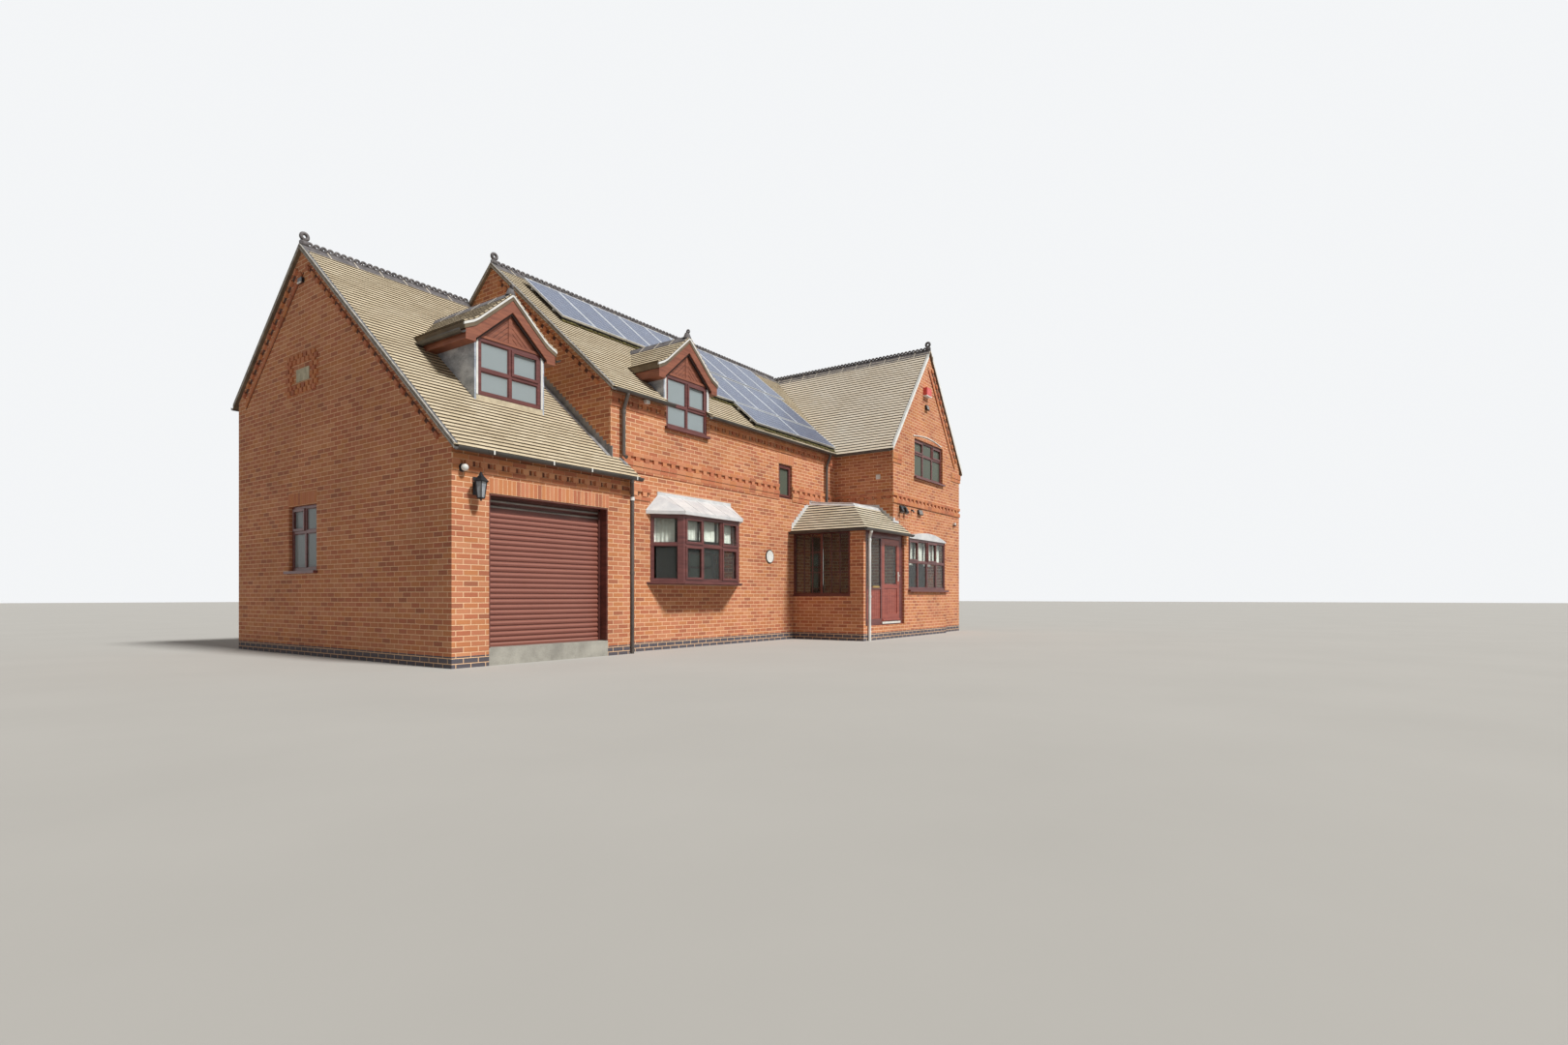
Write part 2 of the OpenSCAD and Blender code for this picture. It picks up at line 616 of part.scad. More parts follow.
// barge boards cut level at the foot, and a boxed eaves board along each side
board_x = dormer_half - 20;
board_drop = dormer_tile + seat;
module dormer_board(d, host) {
    foot_z = d[3] + dormer_foot - board_drop;
    barge_y = d[1] - dormer_verge + 10;
    along_y([barge_y, barge_y + barge_t]) difference() {
        dormer_outline(d, board_x, board_drop, foot_z - eaves_board_h);
        translate([0, -barge_h / 2]) dormer_outline(d, knee, board_drop + barge_h / 2, -eps);
    }
    difference() {
        for (side = [-1, 1]) translate([d[0], 0, 0]) scale([side, 1, 1])
            along_y([barge_y + barge_t - eps, barge_y + 2000]) difference() {
                translate([dormer_half_w + dormer_cheek + seat, foot_z - eaves_board_h])
                    square([board_x - dormer_half_w - dormer_cheek - seat, eaves_board_h]);
                translate([0, foot_z - eaves_board_h + barge_t])
                    square([board_x - barge_t, eaves_board_h]);
            }
        host_cut(host);
    }
}
eaves_board_h = 150;
module dormer_boards() color([0.55, 0.27, 0.18]) translate(shift) {
    dormer_board(d1, 1);
    dormer_board(d2, 2);
}

module ridge_tiles() color([0.25, 0.24, 0.24]) translate(shift) {
    ridge_along_x([-verge_out, wing_ridge_x - ridge_w / 2 - seat], ridge_y, main_ridge_z);
    ridge_along_x([verge_x, -verge_out - eps], g_ridge_y, g_ridge_z);
    difference() {
        ridge_along_y([wing_front - verge_out, main_d + verge_out], wing_ridge_x, main_ridge_z,
            wing_slope, crest_h);
        along_x([0, wing_ridge_x]) main_outline(-big, big, -seat, -big);
    }
    for (d = [[d1, 1], [d2, 2]]) difference() {
        ridge_along_y([d[0][1] - dormer_verge, d[0][1] + 3000], d[0][0], d[0][3] + dormer_rise,
            dormer_slope, 0);
        host_cut(d[1]);
    }
    finial_x(-verge_out, ridge_y, main_ridge_z);
    finial_x(verge_x, g_ridge_y, g_ridge_z);
    finial_y(wing_front - verge_out, wing_ridge_x, main_ridge_z);
    finial_y(main_d + verge_out - 2 * finial_r, wing_ridge_x, main_ridge_z);
    for (d = [d1, d2]) finial_y(d[1] - dormer_verge, d[0], d[3] + dormer_rise);
}
ridge_t = 30;
// cap over a ridge of slope s, with a crest of height h along its middle
module ridge_profile(s, h) {
    edge = ridge_w / 2;
    polygon([[-edge, seat - edge * s], [-edge, ridge_t - edge * s], [0, 2 * ridge_t],
        [edge, ridge_t - edge * s], [edge, seat - edge * s], [0, seat]]);
    if (h > 0) translate([-10, ridge_t]) square([20, h]);
}
module ridge_along_x(x, y, z) translate([0, y, z]) along_x(x) ridge_profile(slope, crest_h);
module ridge_along_y(y, x, z, s, h) translate([x, 0, z]) along_y(y) ridge_profile(s, h);
// a ring on a tapered neck, standing in the plane of the ridge
module finial_profile() {
    ring_z = finial_h - finial_r;
    difference() {
        union() {
            translate([finial_r, ring_z]) circle(r = finial_r, $fn = 32);
            polygon([[0, ridge_t], [2 * finial_r, ridge_t], [1.5 * finial_r, ring_z - finial_r / 2],
                [finial_r / 2, ring_z - finial_r / 2]]);
        }
        translate([finial_r, ring_z]) circle(r = finial_r * 0.4, $fn = 32);
    }
}
module finial_x(x, y, z) translate([x, y + ridge_t / 2, z]) rotate([90, 0, 0])
    linear_extrude(ridge_t) finial_profile();
module finial_y(y, x, z) translate([x - ridge_t / 2, y, z]) rotate([90, 0, 90])
    linear_extrude(ridge_t) finial_profile();

module gutter_profile()
    difference() {
        circle(d = gutter_w, $fn = 32);
        circle(d = gutter_w - 8, $fn = 32);
        translate([-gutter_w, 0]) square([2 * gutter_w, gutter_w]);
    }
module gutter_x(x, y, z) translate([0, y, z]) along_x(x) gutter_profile();
module gutter_y(y, x, z) translate([x, 0, z]) along_y(y) gutter_profile();
module gutters() color([0.07, 0.07, 0.08]) translate(shift) {
    gutter_x([verge_x, garage_return + 90], g_eave_y - gutter_w / 2, garage_eave_z - 20);
    gutter_x([-verge_out, 1400], -eave_out - gutter_w / 2, main_eave_z - 20);
    gutter_x([2480, w_eave_x - gutter_w], -eave_out - gutter_w / 2, main_eave_z - 20);
    gutter_y([wing_front, -eave_out - gutter_w], w_eave_x - gutter_w / 2, main_eave_z - 20);
    gutter_y([wing_front, main_d], wing_x1 + wing_eave_out + gutter_w / 2, main_eave_z - 20);
    gutter_x([verge_x, w_eave_x - gutter_w], back_eave_y + gutter_w / 2, main_eave_z - 20);
    gutter_x([porch_edge_x - gutter_w, porch_end_x], porch_edge_y - gutter_w / 2, porch_eave_z - 20);
    gutter_y([porch_edge_y - gutter_w / 2, -seat], porch_edge_x - gutter_w / 2, porch_eave_z - 20);
    difference() {
        for (side = [-1, 1]) gutter_y([d1[1] - dormer_verge, d1[1] + 1500],
            d1[0] + side * (board_x + seat + gutter_w / 2), d1[3] + dormer_foot - dormer_tile - 20);
        host_cut(1);
    }
}

module pipe(x, y, z0, z1) translate([x, y, z0]) cylinder(d = pipe_d, h = z1 - z0, $fn = 32);
module downpipes() color([0.07, 0.07, 0.08]) translate(shift) {
    pipe(garage_return + 75, -band_out - pipe_seat, garage_z(0) + 40, main_eave_z - 90);
    pipe(garage_return + band_out + pipe_seat, g_front + 10, ground_low, garage_eave_z - 90);
    pipe(w_eave_x - 375, -band_out - pipe_seat, porch_top_z + porch_top_rise + 40, main_eave_z - 90);
    pipe(porch_x0 + 2.1 * brick_t, porch_front - pipe_seat, ground_low, porch_eave_z - 90);
    pipe(0.04 * main_w, main_d + pipe_seat, ground_low, main_eave_z - 90);
    pipe(0.95 * main_w, main_d + pipe_seat, ground_low, main_eave_z - 90);
}

// solar panels on rails parallel to the main front slope
slope_angle = atan(slope);
module solar_panels() color([0.25, 0.3, 0.42]) translate(shift) {
    panel_row(row_1, panel_w, panel_l);
    panel_row(row_2, panel_w, panel_l - 80);
    panel_row(row_3, panel_l + 150, panel_w);
}
// how far the main slope reaches to the right, up to its valley
function valley_x(y) = w_eave_x + (y + eave_out) / (ridge_y + eave_out) * (wing_ridge_x - w_eave_x);
// one row: as many panels of width w and length l as fit a margin short of the valley
module panel_row(row, w, l) {
    y_top = ridge_y - row[1];
    n = floor((valley_x(y_top - l * cos(slope_angle)) - row[2] - row[0]) / w);
    translate([0, y_top, main_z(y_top) + seat]) rotate([slope_angle, 0, 0])
        for (i = [0:n - 1]) translate([row[0] + i * w, -l, 0]) {
            translate([0, 0, rail_h]) cube([w - 12, l, panel_t]);
            for (f = [0.2, 0.75]) translate([w / 2 - 60, f * l, 0]) cube([120, 45, rail_h]);
        }
}

module roller_door() color([0.4, 0.2, 0.16]) translate(shift) {
    guide_x = [garage_door_x0 + roller_guide, garage_door_x1 - roller_guide];
    guide_y = [roller_y - 30, roller_y + 40];
    block(guide_x, [roller_y, roller_y + 20], [0, garage_door_h - roller_guide]);
    block([garage_door_x0, guide_x[0]], guide_y, [0, garage_door_h]);
    block([guide_x[1], garage_door_x1], guide_y, [0, garage_door_h]);
    block(guide_x, [guide_y[0], -seat], [garage_door_h - roller_guide, garage_door_h]);
}
roller_guide = 60;
roller_y = g_front + 185;

// canted bay in plan, offset outwards by a margin
module bay_plan(grow)
    polygon([[bay_x0 - grow * 1.4, 0], [bay_x0 + bay_out - grow * 0.41, -bay_out - grow],
        [bay_x1 - bay_out + grow * 0.41, -bay_out - grow], [bay_x1 + grow * 1.4, 0]]);
module bay_ring(z0, z1, t)
    translate([0, 0, z0]) linear_extrude(z1 - z0) difference() {
        bay_plan(0);
        bay_plan(-t);
    }
module bay_post_plan() {
    post = 110;
    front_w = bay_x1 - bay_x0 - 2 * bay_out;
    intersection() {
        difference() {
            bay_plan(0);
            bay_plan(-bar_d);
        }
        union() {
            translate([bay_x0 + bay_out, -bay_out]) circle(r = post, $fn = 8);
            translate([bay_x1 - bay_out, -bay_out]) circle(r = post, $fn = 8);
            for (f = [1 / 3, 2 / 3])
                translate([bay_x0 + bay_out + f * front_w - bar_w / 2, -bay_out - eps])
                    square([bar_w, 2 * bar_d]);
            translate([bay_x0 - eps, -bar_w]) square([2 * bar_d, 2 * bar_w]);
            translate([bay_x1 - 2 * bar_d + eps, -bar_w]) square([2 * bar_d, 2 * bar_w]);
        }
    }
}
module canted_bay_frame() color([0.3, 0.13, 0.11]) translate(shift) {
    transom_z = bay_sill_z + 0.56 * (bay_head_z - bay_sill_z);
    bay_ring(bay_sill_z, bay_sill_z + bar_w, bar_d);
    bay_ring(bay_head_z - bar_w, bay_head_z, bar_d);
    bay_ring(transom_z - bar_w / 2, transom_z + bar_w / 2, bar_d);
    translate([0, 0, bay_sill_z]) linear_extrude(bay_head_z - bay_sill_z) bay_post_plan();
    translate([0, 0, bay_sill_z - sill_t]) linear_extrude(sill_t) bay_plan(sill_out);
}
module canted_bay_glass() color([0.6, 0.7, 0.75, 0.35]) translate(shift) {
    transom_z = bay_sill_z + 0.56 * (bay_head_z - bay_sill_z);
    for (z = [[bay_sill_z + bar_w, transom_z - bar_w / 2], [transom_z + bar_w / 2, bay_head_z - bar_w]])
        translate([0, 0, z[0]]) linear_extrude(z[1] - z[0]) difference() {
            bay_plan(-(bar_d - glass_t) / 2);
            bay_plan(-(bar_d + glass_t) / 2);
            bay_post_plan();
        }
}
module canted_bay_canopy() color([0.7, 0.71, 0.72]) translate(shift) difference() {
    hull() {
        translate([0, 0, bay_head_z]) linear_extrude(60) bay_plan(80);
        translate([bay_x0 + 190, -10, bay_top_z - 10]) cube([bay_x1 - bay_x0 - 380, 10, 10]);
    }
    hull() {
        translate([0, 0, bay_head_z - eps]) linear_extrude(20) bay_plan(-60);
        translate([bay_x0 + 260, -5, bay_top_z - 120]) cube([bay_x1 - bay_x0 - 520, 5 + eps, 10]);
    }
}

flat_win = [[porch_x1, flat_x1 - brick_t + 20], porch_front + 10, [flat_sill_z, flat_head_z],
    [0.25, 0.5, 0.75], 0.55];
module flat_bay_frame() color([0.3, 0.13, 0.11]) translate(shift)
    frame_front(flat_win[0], flat_win[1], flat_win[2], flat_win[3], flat_win[4]);
module flat_bay_glass() color([0.6, 0.7, 0.75, 0.35]) translate(shift)
    panes_front(flat_win[0], flat_win[1], flat_win[2], flat_win[3], flat_win[4]);
module flat_bay_canopy() color([0.7, 0.71, 0.72]) translate(shift) {
    x = flat_win[0];
    w = x[1] - x[0];
    front = porch_front - 30;
    rise = flat_rise - 25;
    r = (w * w / 4 + rise * rise) / (2 * rise);
    intersection() {
        translate([x[0] + w / 2, front, flat_head_z + flat_rise - r]) rotate([-90, 0, 0])
            cylinder(r = r, h = wing_front - front, $fn = 360);
        block([x[0] + seat, x[1]], [front, wing_front - seat],
            [flat_head_z + seat, flat_head_z + 2 * flat_rise]);
    }
}

module window_frames() color([0.3, 0.13, 0.11]) translate(shift) {
    for (w = plain_windows) frame_front(w[0], w[1], w[2], w[3], w[4]);
    side_frame(gable_win, 1);
    side_frame(right_win, -1);
}
module window_glass() color([0.6, 0.7, 0.75, 0.35]) translate(shift) {
    for (w = plain_windows) panes_front(w[0], w[1], w[2], w[3], w[4]);
    side_panes(gable_win, 1);
    side_panes(right_win, -1);
}
// a window in a side wall, set in from the face towards side
module side_frame(w, side)
    translate([w[0] + side * (reveal + bar_d / 2) - bar_d / 2, w[1][0], w[2][0]])
        rotate([90, 0, 90]) linear_extrude(bar_d)
            frame_bars(w[1][1] - w[1][0], w[2][1] - w[2][0], w[3], w[4]);
module side_panes(w, side)
    translate([w[0] + side * (reveal + bar_d / 2) - glass_t / 2, w[1][0], w[2][0]])
        rotate([90, 0, 90]) linear_extrude(glass_t) difference() {
            translate([bar_w, bar_w])
                square([w[1][1] - w[1][0] - 2 * bar_w, w[2][1] - w[2][0] - 2 * bar_w]);
            frame_bars(w[1][1] - w[1][0], w[2][1] - w[2][0], w[3], w[4]);
        }

module window_sills() color([0.3, 0.13, 0.11]) translate(shift) {
    sill(wing_up, wing_front);
    sill(dormer_2, 0);
    block([porch_x1 - 25, flat_x1 + 25], [porch_front - sill_out, porch_front],
        [flat_sill_z - sill_t, flat_sill_z]);
    for (w = concat(back_low, back_high))
        block([w[0][0] - 40, w[0][1] + 40], [main_d, main_d + sill_out], [w[2][0] - sill_t, w[2][0]]);
    block([-garage_w - sill_out, -garage_w], [gable_win[1][0] - 40, gable_win[1][1] + 40],
        [gable_win[2][0] - sill_t, gable_win[2][0]]);
    block([wing_x1, wing_x1 + sill_out], [right_win[1][0] - 40, right_win[1][1] + 40],
        [right_win[2][0] - sill_t, right_win[2][0]]);
}
module sill(w, face)
    block([w[0][0] - 40, w[0][1] + 40], [face - sill_out, face], [w[2][0] - sill_t, w[2][0]]);

// porch joinery: side screen, and the front frame with its sidelight
screen_y = [porch_front + porch_pier_d, 0];
frame_x = [porch_x0 + brick_t, porch_x1 - porch_pier_w];
frame_h = porch_wall_z;
module porch_frames() color([0.3, 0.13, 0.11]) translate(shift) {
    translate([porch_x0 + 20, screen_y[0], screen_sill_z]) rotate([90, 0, 90]) linear_extrude(joinery_t)
        frame_bars(screen_y[1] - screen_y[0], porch_wall_z - screen_sill_z, [0.5], 0);
    along_y([leaf_y0, leaf_y0 + joinery_t]) difference() {
        translate([frame_x[0], step_z]) square([frame_x[1] - frame_x[0], frame_h - step_z]);
        translate([leaf_x0 - leaf_gap, ground_floor_z])
            square([leaf_w + 2 * leaf_gap, leaf_h + 2 * leaf_gap]);
        translate([frame_x[0] + 150, ground_floor_z + 800])
            square([leaf_x0 - leaf_gap - bar_w - frame_x[0] - 150, leaf_h - 800]);
    }
    for (z = hinge_zs) frame_hinge(z);
}
hinge_zs = [leaf_z0 + 150, leaf_z0 + 900, leaf_z0 + leaf_h - 230];
knuckle_h = 60;
// frame side: a pin held between two knuckles on a plate
module frame_hinge(z) {
    translate([hinge_x, hinge_y, z - 25]) cylinder(r = hinge_r, h = 24.7, $fn = 32);
    translate([hinge_x, hinge_y, z + knuckle_h + 0.3]) cylinder(r = hinge_r, h = 24.7, $fn = 32);
    translate([hinge_x, hinge_y, z - 10]) cylinder(r = pin_r, h = knuckle_h + 20, $fn = 32);
    for (low = [z - 25, z + knuckle_h + 0.3])
        block([hinge_x - 40, hinge_x], [leaf_y0 + joinery_t, leaf_y0 + joinery_t + 3],
            [low, low + 24.7]);
}
// leaf side: one knuckle round the pin
module leaf_hinge(z) difference() {
    union() {
        translate([hinge_x, hinge_y, z]) cylinder(r = hinge_r, h = knuckle_h, $fn = 32);
        block([hinge_x, leaf_x0 + 60], [leaf_y0 + joinery_t, leaf_y0 + joinery_t + 3],
            [z, z + knuckle_h]);
    }
    translate([hinge_x, hinge_y, z - eps]) cylinder(r = pin_r + 0.3, h = knuckle_h + 2 * eps, $fn = 32);
}
module porch_glass() color([0.6, 0.7, 0.75, 0.35]) translate(shift) {
    translate([porch_x0 + 20 + (joinery_t - glass_t) / 2, screen_y[0], screen_sill_z])
        rotate([90, 0, 90]) linear_extrude(glass_t) difference() {
            translate([bar_w, bar_w]) square([screen_y[1] - screen_y[0] - 2 * bar_w,
                porch_wall_z - screen_sill_z - 2 * bar_w]);
            frame_bars(screen_y[1] - screen_y[0], porch_wall_z - screen_sill_z, [0.5], 0);
        }
    block([frame_x[0] + 150, leaf_x0 - leaf_gap - bar_w], glass_y, [ground_floor_z + 800, ground_floor_z + leaf_h]);
}
glass_y = [leaf_y0 + (joinery_t - glass_t) / 2, leaf_y0 + (joinery_t + glass_t) / 2];
stile = 120;
mid_rail_z = leaf_z0 + 760;
module porch_door() color([0.3, 0.13, 0.11]) translate(shift) {
    along_y([leaf_y0, leaf_y0 + joinery_t]) difference() {
        translate([leaf_x0, leaf_z0]) square([leaf_w, leaf_h]);
        translate([leaf_x0 + stile, mid_rail_z + 60])
            square([leaf_w - 2 * stile, leaf_z0 + leaf_h - stile - mid_rail_z - 60]);
    }
    for (z = hinge_zs) leaf_hinge(z);
}
module door_glass() color([0.6, 0.7, 0.75, 0.35]) translate(shift)
    block([leaf_x0 + stile, leaf_x1 - stile], glass_y, [mid_rail_z + 60, leaf_z0 + leaf_h - stile]);
module door_handle() color([0.8, 0.7, 0.45]) translate(shift) {
    block([leaf_x1 - 95, leaf_x1 - 55], [leaf_y0 - 12, leaf_y0], [leaf_z0 + 930, leaf_z0 + 1150]);
    block([leaf_x1 - 85, leaf_x1 - 65], [leaf_y0 - 50, leaf_y0 - 12], [leaf_z0 + 1050, leaf_z0 + 1075]);
    block([leaf_x1 - 190, leaf_x1 - 65], [leaf_y0 - 62, leaf_y0 - 50], [leaf_z0 + 1050, leaf_z0 + 1075]);
}

alarm = [wing_ridge_x - 230, 5940];
module alarm_box() color([0.9, 0.9, 0.88]) translate(shift)
    block(span(alarm[0], 300), [wing_front - 110, wing_front], [alarm[1], alarm[1] + 210]);
// hexagonal lantern with a pitched top, hung on an arm from its back plate
lantern = [garage_door_x0 - 225, g_front - 150, garage_door_h - 115];
lantern_h = 230;
lantern_top = 80;
module wall_lanterns() color([0.06, 0.06, 0.06]) translate(shift) {
    block(span(lantern[0], 60), [g_front - 12, g_front], [lantern[2] + 60, lantern[2] + 310]);
    block(span(lantern[0], 30), [lantern[1] - 15, g_front - 12],
        [lantern[2] + lantern_h + lantern_top - 20, lantern[2] + lantern_h + lantern_top + 10]);
    translate(lantern) cylinder(r1 = 50, r2 = 80, h = lantern_h, $fn = 6);
    translate([lantern[0], lantern[1], lantern[2] + lantern_h])
        cylinder(r1 = 110, r2 = 20, h = lantern_top, $fn = 6);
}
// round light by the garage, two flood lights on the wing and one high on the garage gable
ball_light = [-garage_w + 150, garage_eave_z - 270];
module white_fittings() color([0.9, 0.9, 0.88]) translate(shift) {
    translate([ball_light[0], g_front, ball_light[1]]) rotate([90, 0, 0]) cylinder(d = 120, h = 20, $fn = 32);
    translate([ball_light[0], g_front - 70, ball_light[1]]) sphere(d = 110, $fn = 32);
    block(span(alarm[0] + 40, 180), [wing_front - 60, wing_front], [alarm[1] - 370, alarm[1] - 200]);
    block(span(wing_ridge_x - 720, 180), [wing_front - 60, wing_front],
        [wing_bands[0][1][0] - 170, wing_bands[0][1][0] - 50]);
    block([-garage_w - 60, -garage_w], span(g_ridge_y, 150), [g_ridge_z - 640, g_ridge_z - 530]);
}
plaque = [span(g_ridge_y - 30, 460), [4320, 4530]];
module plaque_recess()
    block([-garage_w - eps, -garage_w + 50], plaque[0], plaque[1]);
module stone_plaque() color([0.75, 0.7, 0.58]) translate(shift)
    block([-garage_w - 10, -garage_w + 50], plaque[0], plaque[1]);

ground_floor();
first_floor();
garage_front_wall();
garage_left_wall();
main_left_gable();
main_front_wall();
back_wall();
wing_left_wall();
wing_front_wall();
wing_right_wall();
wing_back_wall();
porch_walls();
flat_bay_base();
garage_roof();
main_roof();
wing_roof();
porch_roof();
dormer_cheeks();
dormer_roofs();
dormer_gables();
dormer_boards();
ridge_tiles();
gutters();
downpipes();
solar_panels();
roller_door();
canted_bay_frame();
canted_bay_glass();
canted_bay_canopy();
flat_bay_frame();
flat_bay_glass();
flat_bay_canopy();
window_frames();
window_glass();
window_sills();
porch_frames();
porch_glass();
porch_door();
door_glass();
door_handle();
alarm_box();
wall_lanterns();
white_fittings();
stone_plaque();
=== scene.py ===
import math

import bmesh
import bpy
from mathutils import Matrix, Vector


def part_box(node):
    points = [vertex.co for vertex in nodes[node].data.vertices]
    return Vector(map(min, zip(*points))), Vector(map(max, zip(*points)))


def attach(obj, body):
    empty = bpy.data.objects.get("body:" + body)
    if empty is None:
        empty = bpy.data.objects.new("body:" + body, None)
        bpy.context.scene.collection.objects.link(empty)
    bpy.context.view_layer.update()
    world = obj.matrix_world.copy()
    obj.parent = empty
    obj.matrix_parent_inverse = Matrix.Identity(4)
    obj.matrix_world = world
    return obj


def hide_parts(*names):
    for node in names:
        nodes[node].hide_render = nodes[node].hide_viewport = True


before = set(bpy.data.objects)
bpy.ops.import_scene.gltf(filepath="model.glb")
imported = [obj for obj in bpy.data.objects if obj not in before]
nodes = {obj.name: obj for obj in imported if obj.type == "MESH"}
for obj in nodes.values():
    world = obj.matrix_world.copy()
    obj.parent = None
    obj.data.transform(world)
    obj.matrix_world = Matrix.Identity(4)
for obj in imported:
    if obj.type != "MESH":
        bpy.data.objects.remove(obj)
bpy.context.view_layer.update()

# lengths in metres from the main range's left front corner: x along the front, y back, z up
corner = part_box("main_left_gable")[0]
origin = Vector((corner.x, corner.y, corner.z + 0.25))

house = {
    "slope": 0.8541, "wingSlope": 1.304, "eaveZ": 4.279, "ridgeZ": 7.2, "ridgeY": 3.31,
    "frontEave": -0.11, "backEave": 6.73, "leftVerge": -3.13, "mainVerge": -0.05,
    "garageEaveY": -0.43, "garageEaveZ": 2.741, "garageRidgeY": 4.0504, "garageRidgeZ": 6.5677,
    "wingEave": 7.37, "wingRidge": 9.61, "wingRightEave": 11.85, "wingFront": -1.625,
    "wingVerge": -1.675, "backVerge": 6.67,
}
dormers = [
    {"x": -1.445, "y": 0.72, "sill": 3.83, "head": 4.715, "host": "garage", "ridge": 2.25},
    {"x": 1.94, "y": 0.0, "sill": 3.88, "head": 4.85, "host": "main", "ridge": 1.6},
]
dormerShape = {"half": 0.84, "knee": 0.65, "rise": 0.83, "slope": 0.9058, "flare": 0.48, "window": 0.575,
               "verge": 0.07}
h, s = house, dormerShape


def rgb(red, green, blue):
    return tuple(((c / 255 + 0.055) / 1.055) ** 2.4 for c in (red, green, blue)) + (1,)


class Field:
    # a node's output, worked with like a number
    def __init__(self, socket):
        self.socket, self.tree = socket, socket.id_data

    def calc(self, operation, *others):
        return get(self.tree, "ShaderNodeMath", {0: self, **dict(enumerate(others, 1))}, operation=operation)

    def __add__(self, other):
        return self.calc("ADD", other)

    def __sub__(self, other):
        return self.calc("SUBTRACT", other)

    def __rsub__(self, other):
        return get(self.tree, "ShaderNodeMath", {0: other, 1: self}, operation="SUBTRACT")

    def __mul__(self, other):
        return self.calc("MULTIPLY", other)

    def __truediv__(self, other):
        return self.calc("DIVIDE", other)

    def __mod__(self, other):
        return self.calc("FLOORED_MODULO", other)

    def __gt__(self, other):
        return self.calc("GREATER_THAN", other)

    def __lt__(self, other):
        return self.calc("LESS_THAN", other)

    def __abs__(self):
        return self.calc("ABSOLUTE")


def addNode(tree, kind, inputs=None, **settings):
    node = tree.nodes.new(kind)
    for key, value in settings.items():
        setattr(node, key, value)
    for key, value in (inputs or {}).items():
        if isinstance(value, Field):
            tree.links.new(value.socket, node.inputs[key])
        else:
            node.inputs[key].default_value = value
    return node


def get(tree, kind, inputs=None, output=0, **settings):
    return Field(addNode(tree, kind, inputs, **settings).outputs[output])


def link(value, node, name):
    value.tree.links.new(value.socket, node.inputs[name])


def split(tree, vector):
    return [Field(part) for part in addNode(tree, "ShaderNodeSeparateXYZ", {0: vector}).outputs]


def join(tree, x=0.0, y=0.0, z=0.0):
    return get(tree, "ShaderNodeCombineXYZ", {0: x, 1: y, 2: z})


def remap(tree, value, low, high, first, last):
    return get(tree, "ShaderNodeMapRange", {0: value, 1: low, 2: high, 3: first, 4: last})


def ramp(tree, factor, stops):
    node = addNode(tree, "ShaderNodeValToRGB", {0: factor})
    while len(node.color_ramp.elements) < len(stops):
        node.color_ramp.elements.new(0.5)
    for element, (place, colour) in zip(node.color_ramp.elements, stops):
        element.position = place
        element.color = rgb(*colour)
    return Field(node.outputs[0])


def blend(tree, factor, first, second, mode="MIX"):
    return get(tree, "ShaderNodeMix", {0: factor, 6: first, 7: second}, 2, data_type="RGBA", blend_type=mode)


def noise(tree, place, scale, detail):
    return get(tree, "ShaderNodeTexNoise", {"Vector": place, "Scale": scale, "Detail": detail, "Roughness": 0.55})


def cellTone(tree, cell):
    return get(tree, "ShaderNodeTexWhiteNoise", {0: cell}, noise_dimensions="3D")


def attribute(tree, name):
    return get(tree, "ShaderNodeAttribute", output="Fac", attribute_name=name)


finishes = {}


def blank(name, roughness=0.6, metallic=0.0, coat=0.0):
    material = finishes[name] = bpy.data.materials.new(name)
    material.use_nodes = True
    tree = material.node_tree
    tree.nodes.clear()
    settings = {"Roughness": roughness, "Metallic": metallic, "Coat Weight": coat}
    shade = addNode(tree, "ShaderNodeBsdfPrincipled", settings)
    addNode(tree, "ShaderNodeOutputMaterial", {"Surface": Field(shade.outputs[0])})
    return tree, shade, get(tree, "ShaderNodeTexCoord", output="Object")


def setBump(shade, height, strength, distance):
    inputs = {"Height": height, "Strength": strength, "Distance": distance}
    link(get(height.tree, "ShaderNodeBump", inputs), shade, "Normal")


# two close tones, with a broad cloud and a fine grain
def mottled(name, dark, light, scale, roughness, bump=0.2, fine=90, stretch=(1, 1, 1), metallic=0.0, coat=0.0):
    tree, shade, place = blank(name, roughness, metallic, coat)
    place = get(tree, "ShaderNodeMapping", {"Vector": place, "Scale": stretch})
    broad, grain = noise(tree, place, scale, 5), noise(tree, place, fine, 3)
    link(ramp(tree, broad * 0.7 + grain * 0.3, [(0.38, dark), (0.62, light)]), shade, "Base Color")
    link(grain * 0.16 + (roughness - 0.08), shade, "Roughness")
    setBump(shade, grain, bump, 0.004)


brick = {
    "length": 0.225, "height": 0.075, "joint": 0.0055, "start": 0.035,
    "mortar": [(0.3, (232, 186, 146)), (0.7, (252, 214, 174))],
    "tones": [(0.0, (120, 74, 54)), (0.12, (168, 104, 76)), (0.28, (188, 112, 80)), (0.5, (199, 130, 84)),
              (0.75, (196, 124, 92)), (1.0, (212, 150, 106))],
    "plinth": [(0.3, (74, 70, 78)), (0.7, (104, 98, 104))], "plinthTop": -0.09,
    # inside: dark tones for the inner face, painted shade for the unlit rooms
    "inside": [(0.3, (66, 60, 54)), (0.7, (90, 82, 74))],
}
